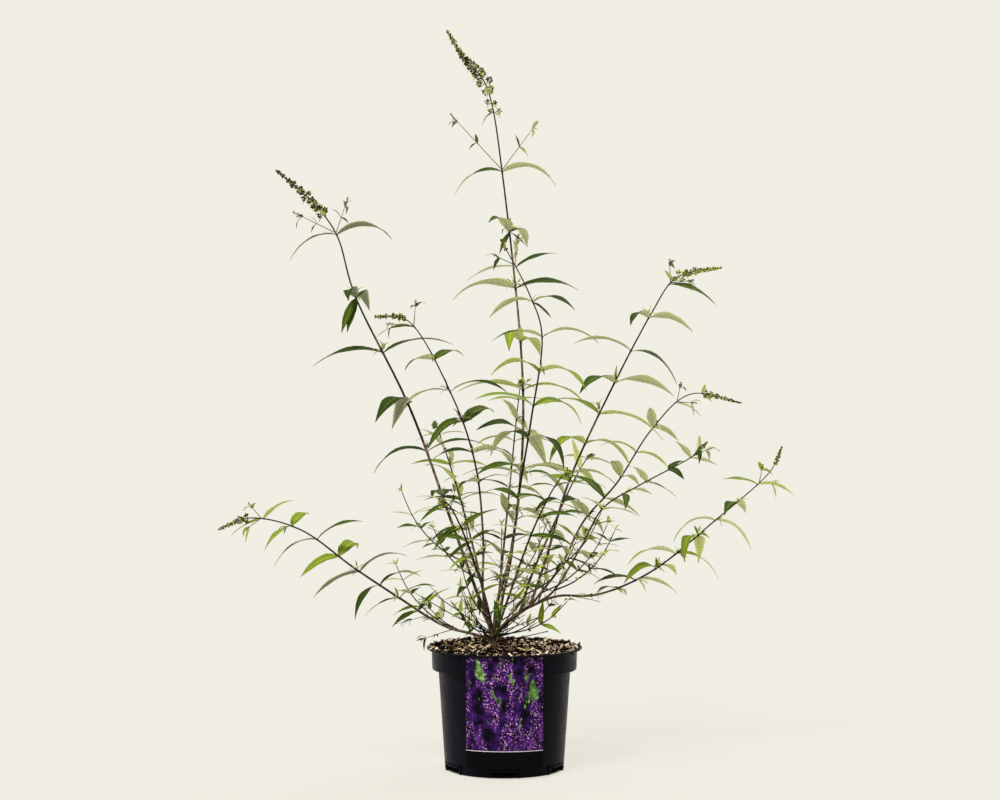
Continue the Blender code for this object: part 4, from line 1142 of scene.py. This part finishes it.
def whip_twigs(growth, whip, route, chance):
    """Thin, mostly bare twigs on the bare part of a whip."""
    for _ in range(WHIP_TWIGS):
        start, heading = route.at(chance.uniform(0.03, whip.bare))
        outward = aside(heading, chance.uniform(0, math.tau))
        points, tip_heading = growth.twig(start, (heading * 0.8 + outward).normalized(),
                                          chance.uniform(0.025, 0.075), chance.uniform(0.0006, 0.0010),
                                          chance.uniform(-0.4, 0.2), DARK_TWIG, 5)
        for spot in points[2:]:
            if chance.random() < WHIP_TUFT_SHARE:
                size = chance.uniform(0.010, 0.024)
                growth.tuft(spot, tip_heading, size, chance.choice((MID, FRESH, DEEP)), chance)


def grow_plant(wood):
    """All leaves, twigs and buds of the plant. Its thick stems are laid on the wood's pile."""
    growth = Growth()
    stump_and_limbs(wood)
    routes = {whip.name: Route(whip.route) for whip in WHIPS}
    for whip in WHIPS:
        route = routes[whip.name]
        spike_start = route.length - whip.spike
        stem_bar(wood, whip, route, route.length - 0.002)
        mass = Mass(f"{whip.name}_leaves")
        growth.leafy_part(mass, whip, route, WHIP_TINTS.get(whip.name, USUAL_TINTS))
        for name, from_top, heading, length, tint in HANGING_LEAVES:
            if name == whip.name:
                joint, _ = route.at(node_distances(whip)[whip.nodes - 1 - from_top])
                heading = Vector(heading).normalized()
                growth.leaves.append(Leaf(joint, heading, 0.0, length, HANGING_DROOP, tint))
        tones = BUD_TONES.get(whip.name, MIXED_BUDS)
        growth.spike(route, spike_start, whip.spike_radius, tones, random.Random(whip.seed + 300))
        if whip.spike > LOOSE_SPIKE:
            chance = random.Random(whip.seed + 400)
            growth.loose_clusters(route, spike_start, whip.spike_radius, tones, chance)
    for shoot, route, mass in low_shoots(routes):
        growth.twigs.append((*tapering(route, shoot.radii, 0.010), DARK_TWIG))
        growth.leafy_part(mass, shoot, route, (DEEP, MID, FRESH, YOUNG))
        tip, heading = route.at(route.length)
        growth.tuft(tip, heading, 0.020, FRESH, random.Random(shoot.seed))
    chance = random.Random(41)
    foot_twigs(growth, chance)
    for whip in WHIPS:
        whip_twigs(growth, whip, routes[whip.name], chance)
    bark_shreds(growth)
    return growth


def build_plant():
    """The plant's five pieces: its wood, its thin twigs, its large and its young leaves, and its buds."""
    wood, blades, young, twigs, buds = Pile(), Pile(), Pile(), Pile(), Pile()
    growth = grow_plant(wood)
    chance = random.Random(5)
    large = blade_pattern(BLADE_ROWS, 4)
    small = blade_pattern(SMALL_BLADE_ROWS, 2)
    for leaf in growth.leaves:
        if leaf.length > SMALL_BLADE:
            lay_leaf(blades, large, BLADE_ROWS, leaf, chance)
        else:
            lay_leaf(young, small, SMALL_BLADE_ROWS, leaf, chance)
    for points, radii, finish in growth.twigs:
        lay_bar(twigs, points, radii, TWIG_SIDES, finish)
    ball = ball_pattern()
    for centre, aim, length, radius, finish in growth.buds:
        side, back = side_and_back(aim)
        basis = np.array([side * radius, back * radius, aim * length * 0.5])
        buds.lay(ball, np.array(centre) + ball.corners @ basis, finish)

    stems = [f"{whip.name}_stem" for whip in WHIPS]
    shoots = [f"low_shoot_{index + 1:02d}" for index in range(len(WHIPS) + FOOT_SHOOTS)]
    masses = [f"{whip.name}_leaves" for whip in WHIPS]
    barks = [bark_material(*tones) for tones in BARKS]
    twig_barks = [bark_material(*tones) for tones in TWIG_BARKS]
    faces = [upper_material(*tones) for tones in UPPERS] + [under_material(*tones) for tones in UNDERSIDES]
    bud_tones = [speckled_material(*tones, 0.7, 900.0) for tones in BUDS]
    woody = wood.mesh("stump_and_stems", barks)
    add_piece("stump_and_stems", woody, "bark", "stump", "left_limb", "right_limb", *stems)
    add_piece("fine_twigs", twigs.mesh("fine_twigs", twig_barks), "bark", *shoots)
    add_piece("large_leaves", blades.mesh("large_leaves", faces, BLADE_EDGE), "leaf_green", *masses)
    add_piece("young_leaves", young.mesh("young_leaves", faces, BLADE_EDGE), "leaf_green")
    add_piece("flower_buds", buds.mesh("flower_buds", bud_tones), "leaf_green")


# Potting mix

def soil_height(x, y):
    """Top of the mix: heaped towards the stump, and over the rim at the back left."""
    share = min(1.0, math.hypot(x, y) / SOIL_RADIUS)
    rise = (SOIL_CROWN_HEIGHT - SOIL_EDGE_HEIGHT) * (0.5 + 0.5 * math.cos(math.pi * share))
    heap = 0.0090 * math.exp(-((x + 0.050) ** 2 + (y - 0.075) ** 2) / 0.0038)
    heap += 0.0030 * math.exp(-((x - 0.030) ** 2 + (y + 0.085) ** 2) / 0.0030)
    lumps = 0.0030 * noise.fractal(Vector((x * 38, y * 38, 1.0)), 0.7, 2.0, 4)
    crumbs = 0.0013 * noise.fractal(Vector((x * 230, y * 230, 5.0)), 0.6, 2.1, 3)
    return SOIL_EDGE_HEIGHT + rise + (heap + lumps) * (1.0 - share ** 6) + crumbs


def build_soil():
    """The mix: a thick disc with a heaped top."""
    outline = [(SOIL_RADIUS * ring / SOIL_RINGS, 0.0) for ring in range(SOIL_RINGS + 1)]
    cage = revolved(outline + [(SOIL_RADIUS - 0.0006, -0.020), (0.0, -0.020)], SOIL_STEPS)
    for vertex in cage.verts:
        top = vertex.co.z > -0.010
        vertex.co.z = soil_height(vertex.co.x, vertex.co.y) if top else SOIL_EDGE_HEIGHT - 0.012
    mesh = mesh_of(cage, "soil")
    mesh.shade_smooth()
    mix = Finish("dark_mix", (0.035, 0.021, 0.013), 0.95)
    crumbs = mix.grain(330.0, 6.0, 0.7)
    damp = mix.grain(26.0, 3.0)
    tone = mix.ramp(crumbs, (0.36, (0.002, 0.0015, 0.001)), (0.54, (0.009, 0.005, 0.003)),
                    (0.70, (0.050, 0.030, 0.017)))
    tone = mix.mix(mix.ramp(damp, (0.40, 0.0), (0.65, 0.5)), tone, (0.016, 0.010, 0.007))
    mesh.materials.append(mix.complete(tone, None, crumbs, 0.002, 0.9))
    add_piece("potting_mix", mesh, "potting_mix", "soil")


def chip_pattern():
    """A rough flake: a bevelled block with its corners pulled about."""
    cage = bmesh.new()
    bmesh.ops.create_cube(cage, size=2.0)
    bmesh.ops.bevel(cage, geom=cage.edges[:], offset=0.35, offset_type="OFFSET", segments=1, profile=0.5,
                    affect="EDGES", material=-1)
    noise.seed_set(FLAKE_SEED)
    for vertex in cage.verts:
        vertex.co += noise.noise_vector(vertex.co * 1.3) * 0.35
    return Pattern(cage)


def lay_chip(pile, flake, spilled, chance):
    """A bark flake, more or less flat on the mix or spilled on the lip."""
    radius = chance.uniform(*LIP_TOP) if spilled else SOIL_RADIUS * 0.985 * math.sqrt(chance.random())
    turn = chance.uniform(0, math.tau)
    x, y = radius * math.cos(turn), radius * math.sin(turn)
    ground = POT_HEIGHT + 0.0002 if spilled else soil_height(x, y)
    length = chance.uniform(0.0020, 0.0062) * (1.8 if chance.random() < 0.14 and not spilled else 1.0)
    size = (length, length * chance.uniform(0.15, 0.32), length * chance.uniform(0.08, 0.20), 1.0)
    aim = Matrix.Rotation(chance.uniform(0, math.tau), 4, "Z")
    aim = aim @ Matrix.Rotation(chance.gauss(0, 0.5), 4, "Y") @ Matrix.Rotation(chance.gauss(0, 0.5), 4, "X")
    whole = np.array(Matrix.Translation((x, y, ground + length * 0.20)) @ aim @ Matrix.Diagonal(size))
    drift = noise.noise(Vector((x * 42, y * 42, 3.0)))
    lightness = chance.random() + 0.45 * drift + 0.10 * (x > 0.03)
    corners = flake.corners @ whole[:3, :3].T + whole[:3, 3]
    pile.lay(flake, corners, bisect.bisect_right(CHIP_LIMITS, lightness))


def lay_fibre(pile, chance):
    """A wood fibre that winds over the mix, unless it would leave the pot."""
    radius = SOIL_RADIUS * 0.96 * math.sqrt(chance.random())
    turn = chance.uniform(0, math.tau)
    x, y = radius * math.cos(turn), radius * math.sin(turn)
    point = Vector((x, y, soil_height(x, y) + 0.0006))
    turn = chance.uniform(0, math.tau)
    heading = (level(turn) + UP * chance.uniform(-0.1, 0.55)).normalized()
    length = chance.uniform(0.006, 0.017)
    points = []
    for _ in range(5):
        if math.hypot(point.x, point.y) > SOIL_RADIUS and point.z > POT_HEIGHT:
            point = point * (SOIL_RADIUS / math.hypot(point.x, point.y))
        points.append(point.copy())
        bend = Vector((chance.uniform(-0.4, 0.4), chance.uniform(-0.4, 0.4), -0.22))
        heading = (heading + bend).normalized()
        point = point + heading * length / 4
        point.z = max(point.z, soil_height(point.x, point.y) + 0.0004)
    if max(math.hypot(spot.x, spot.y) for spot in points) < SOIL_RADIUS:
        lay_bar(pile, points, [chance.uniform(0.0003, 0.0006)] * 5, 4, chance.choice((1, 2, 3, 3, 4)))


def build_chips():
    """Bark flakes and wood fibres lying on the mix."""
    chance = random.Random(23)
    pile = Pile()
    flake = chip_pattern()
    for index in range(CHIPS):
        lay_chip(pile, flake, index < SPILLED_CHIPS, chance)
    for _ in range(FIBRES):
        lay_fibre(pile, chance)
    finishes = [speckled_material(*tones) for tones in CHIP_TONES]
    add_piece("bark_chips", pile.mesh("bark_chips", finishes, math.radians(35)), "potting_mix")


# Pot and card

def slot_frame_bar(size, middle, turn):
    """A flat bar of the raised frame around a drain slot, bent round the wall."""
    cage = bmesh.new()
    bmesh.ops.create_cube(cage, size=1.0, matrix=Matrix.Translation(middle) @ Matrix.Diagonal((*size, 1.0)))
    across = [edge for edge in cage.edges if abs(edge.verts[0].co.y - edge.verts[1].co.y) > 0.001]
    bmesh.ops.subdivide_edges(cage, edges=across, cuts=11)
    for vertex in cage.verts:
        radius = WALL_FOOT_RADIUS + vertex.co.x + WALL_SLOPE * vertex.co.z
        around = vertex.co.y / WALL_FOOT_RADIUS
        vertex.co = turn @ Vector((radius * math.cos(around), radius * math.sin(around), vertex.co.z))
    return mesh_of(cage, "slot_frame_bar")


def slot_blocks():
    """Round-cornered blocks that stand where the drain slots are cut."""
    cutter = bmesh.new()
    size = Matrix.Diagonal((SLOT_REACH, SLOT_WIDTH, 2 * SLOT_HEIGHT, 1))
    for turn in SLOT_TURNS:
        place = turn @ Matrix.Translation((WALL_FOOT_RADIUS, 0, 0))
        block = bmesh.ops.create_cube(cutter, size=1.0, matrix=place @ size)
        corners = set(block["verts"])
        edges = [edge for edge in cutter.edges if set(edge.verts) <= corners
                 and abs((turn.inverted() @ (edge.verts[0].co - edge.verts[1].co)).x) > SLOT_REACH / 2]
        bmesh.ops.bevel(cutter, geom=edges, offset=0.0015, offset_type="OFFSET", segments=3, profile=0.5,
                        affect="EDGES", material=-1)
    return mesh_of(cutter, "slot_blocks")


def build_pot():
    """The pot, turned from one outline, with drain slots cut through its foot ring and frames around them."""
    lip_foot = POT_HEIGHT - LIP_THICKNESS
    inner = FOOT_HEIGHT + WALL
    inside = [(0.0, WALL), (HUB_RADIUS - WALL, WALL), (HUB_RADIUS, inner), (WALL_FOOT_RADIUS - WALL, inner),
              (WALL_TOP_RADIUS - WALL, COLLAR_FOOT_HEIGHT + WALL),
              (COLLAR_FOOT_RADIUS - WALL, COLLAR_FOOT_HEIGHT + WALL), (COLLAR_TOP_RADIUS - WALL, POT_HEIGHT)]
    outside = [(LIP_RADIUS, POT_HEIGHT), (LIP_RADIUS, lip_foot), (COLLAR_TOP_RADIUS, lip_foot),
               (COLLAR_FOOT_RADIUS, COLLAR_FOOT_HEIGHT), (WALL_TOP_RADIUS, COLLAR_FOOT_HEIGHT - 0.0012),
               (WALL_FOOT_RADIUS, 0.0)]
    underside = [(WALL_FOOT_RADIUS - WALL, 0.0), (WALL_FOOT_RADIUS - WALL, FOOT_HEIGHT),
                 (HUB_RADIUS + WALL, FOOT_HEIGHT), (HUB_RADIUS, 0.0), (0.0, 0.0)]
    cage = revolved(inside + outside + underside, POT_STEPS, POT_ROUNDING)
    shell = link("pot_shell", mesh_of(cage, "pot_shell"))
    blocks = link("slot_blocks", slot_blocks())
    cut = shell.modifiers.new("slots", "BOOLEAN")
    cut.operation = "DIFFERENCE"
    cut.object = blocks
    cut.solver = "EXACT"
    finished = bpy.data.meshes.new_from_object(shell.evaluated_get(bpy.context.evaluated_depsgraph_get()))
    for item in (shell, blocks):
        bpy.data.objects.remove(item)
    cage = bmesh.new()
    cage.from_mesh(finished)
    for turn in SLOT_TURNS:
        for across in SLOT_RIBS:
            place = turn @ Matrix.Translation((WALL_FOOT_RADIUS - 0.0072, across, FOOT_HEIGHT / 2))
            bmesh.ops.create_cube(cage, size=1.0,
                                  matrix=place @ Matrix.Diagonal((0.0016, 0.0020, FOOT_HEIGHT - 0.001, 1.0)))
        for size, middle in SLOT_FRAME:
            frame_bar = slot_frame_bar(size, middle, turn)
            cage.from_mesh(frame_bar)
            bpy.data.meshes.remove(frame_bar)
    cage.to_mesh(finished)
    cage.free()
    finished.shade_smooth()
    finished.set_sharp_from_angle(angle=math.radians(32))
    finished.materials.clear()
    finished.materials.append(pot_material())
    add_piece("nursery_pot", finished, "black_plastic", "pot")


def build_pale_strokes():
    """Two pale strokes at the card's upper left corner."""
    pile = Pile()
    for (left, top), (right, foot) in CARD_PALE_STROKES:
        points = []
        for step in range(5):
            x = left + (right - left) * step / 4
            z = top + (foot - top) * step / 4
            points.append(Vector((x, -math.sqrt((COLLAR_TOP_RADIUS + 0.0011) ** 2 - x * x), z)))
        lay_bar(pile, points, PALE_STROKE_RADII, 5, 0)
    pale = speckled_material("pale_stroke", (0.30, 0.30, 0.31), (0.62, 0.62, 0.63), 0.7, 1500.0)
    add_piece("card_pale_strokes", pile.mesh("card_pale_strokes", [pale]), "picture_card")


def build_card():
    """A round-cornered card, bent round the collar below the lip."""
    height = POT_HEIGHT - LIP_THICKNESS - 0.0003 - CARD_FOOT_HEIGHT
    cage = bmesh.new()
    bmesh.ops.create_grid(cage, x_segments=1, y_segments=1, size=0.5)
    bmesh.ops.transform(cage, matrix=Matrix.Diagonal((CARD_WIDTH, height, 1, 1)), verts=cage.verts)
    bmesh.ops.bevel(cage, geom=cage.verts[:], offset=CARD_CORNER, offset_type="OFFSET", segments=6,
                    profile=0.5, affect="VERTICES", material=-1)
    bmesh.ops.solidify(cage, geom=cage.faces[:], thickness=CARD_THICKNESS)
    for bend in range(1, CARD_BENDS):
        everything = cage.verts[:] + cage.edges[:] + cage.faces[:]
        cut = (CARD_WIDTH * (bend / CARD_BENDS - 0.5), 0, 0)
        bmesh.ops.bisect_plane(cage, geom=everything, dist=0.00001, plane_co=cut, plane_no=(1, 0, 0))
    middle_depth = sum(vertex.co.z for vertex in cage.verts) / len(cage.verts)
    layer = cage.loops.layers.uv.new("print")
    for face in cage.faces:
        for loop in face.loops:
            loop[layer].uv = (loop.vert.co.x / CARD_WIDTH + 0.5, loop.vert.co.y / height + 0.5)
    for vertex in cage.verts:
        across, along, depth = vertex.co
        radius = COLLAR_TOP_RADIUS + 0.0003 + CARD_THICKNESS / 2 + (depth - middle_depth)
        turn = across / (COLLAR_TOP_RADIUS + 0.0007)
        vertex.co = (radius * math.sin(turn), -radius * math.cos(turn), CARD_FOOT_HEIGHT + height / 2 + along)
    bmesh.ops.recalc_face_normals(cage, faces=cage.faces)
    mesh = mesh_of(cage, "card")
    mesh.shade_smooth()
    mesh.set_sharp_from_angle(angle=math.radians(40))
    mesh.materials.append(card_material())
    add_piece("picture_card", mesh, "picture_card", "label")


# Studio

def build_lights():
    """The suns. Returns the light that they cast on a level floor."""
    on_floor = Vector((0.0, 0.0, 0.0))
    for name, energy, azimuth, elevation, spread, colour in SUNS:
        light = bpy.data.lights.new(name, "SUN")
        light.energy = energy
        light.angle = math.radians(spread)
        light.color = colour
        turn, lift = math.radians(azimuth), math.radians(elevation)
        towards = Vector((math.cos(turn) * math.cos(lift), math.sin(turn) * math.cos(lift), math.sin(lift)))
        link(name, light).rotation_euler = towards.to_track_quat("Z", "Y").to_euler()
        on_floor += Vector(colour) * energy * math.sin(lift) / math.pi
    return on_floor


def build_floor(on_floor):
    """A wide floor. It glows with what its light lacks of the surround's tone, but not below the pot."""
    cage = bmesh.new()
    bmesh.ops.create_circle(cage, cap_ends=True, segments=96, radius=30.0)
    mesh = mesh_of(cage, "floor")
    glow = Vector(SURROUND) - (Vector(SURROUND) + on_floor) * FLOOR_TONE
    pale = Finish("pale_lit_floor", (FLOOR_TONE,) * 3, 0.9, Specular_IOR_Level=0.0, Emission_Strength=1.0)
    across, deep, _ = pale.axes(pale.spot)
    reach = pale.reckon("SQRT", pale.plus(pale.reckon("POWER", across, 2.0), pale.reckon("POWER", deep, 2.0)))
    lit = pale.ramp(reach, (WALL_FOOT_RADIUS - 0.004, (0.0, 0.0, 0.0)), (WALL_FOOT_RADIUS, tuple(glow)))
    pale.wire(lit, pale.shader.inputs["Emission Color"])
    mesh.materials.append(pale.material)
    floor = link("floor", mesh)
    floor.location.z = -0.0005


def build_studio():
    """Surround, suns, floor and camera."""
    scene = bpy.context.scene
    scene.view_settings.view_transform = "Standard"
    world = bpy.data.worlds.new("pale_surround")
    scene.world = world
    world.use_nodes = True
    world.node_tree.nodes["Background"].inputs["Color"].default_value = (*SURROUND, 1.0)
    build_floor(build_lights())
    camera = bpy.data.cameras.new("camera")
    camera.sensor_width = 36.0
    camera.lens = camera.sensor_width * CAMERA_DISTANCE / FRAME_WIDTH
    camera.clip_start = 0.1
    eye = link("camera", camera)
    eye.location = (-0.008, -CAMERA_DISTANCE, 0.663)
    eye.rotation_euler = (math.radians(90), 0.0, 0.0)
    scene.camera = eye


build_pot()
build_pale_strokes()
build_card()
build_soil()
build_chips()
build_plant()
build_studio()
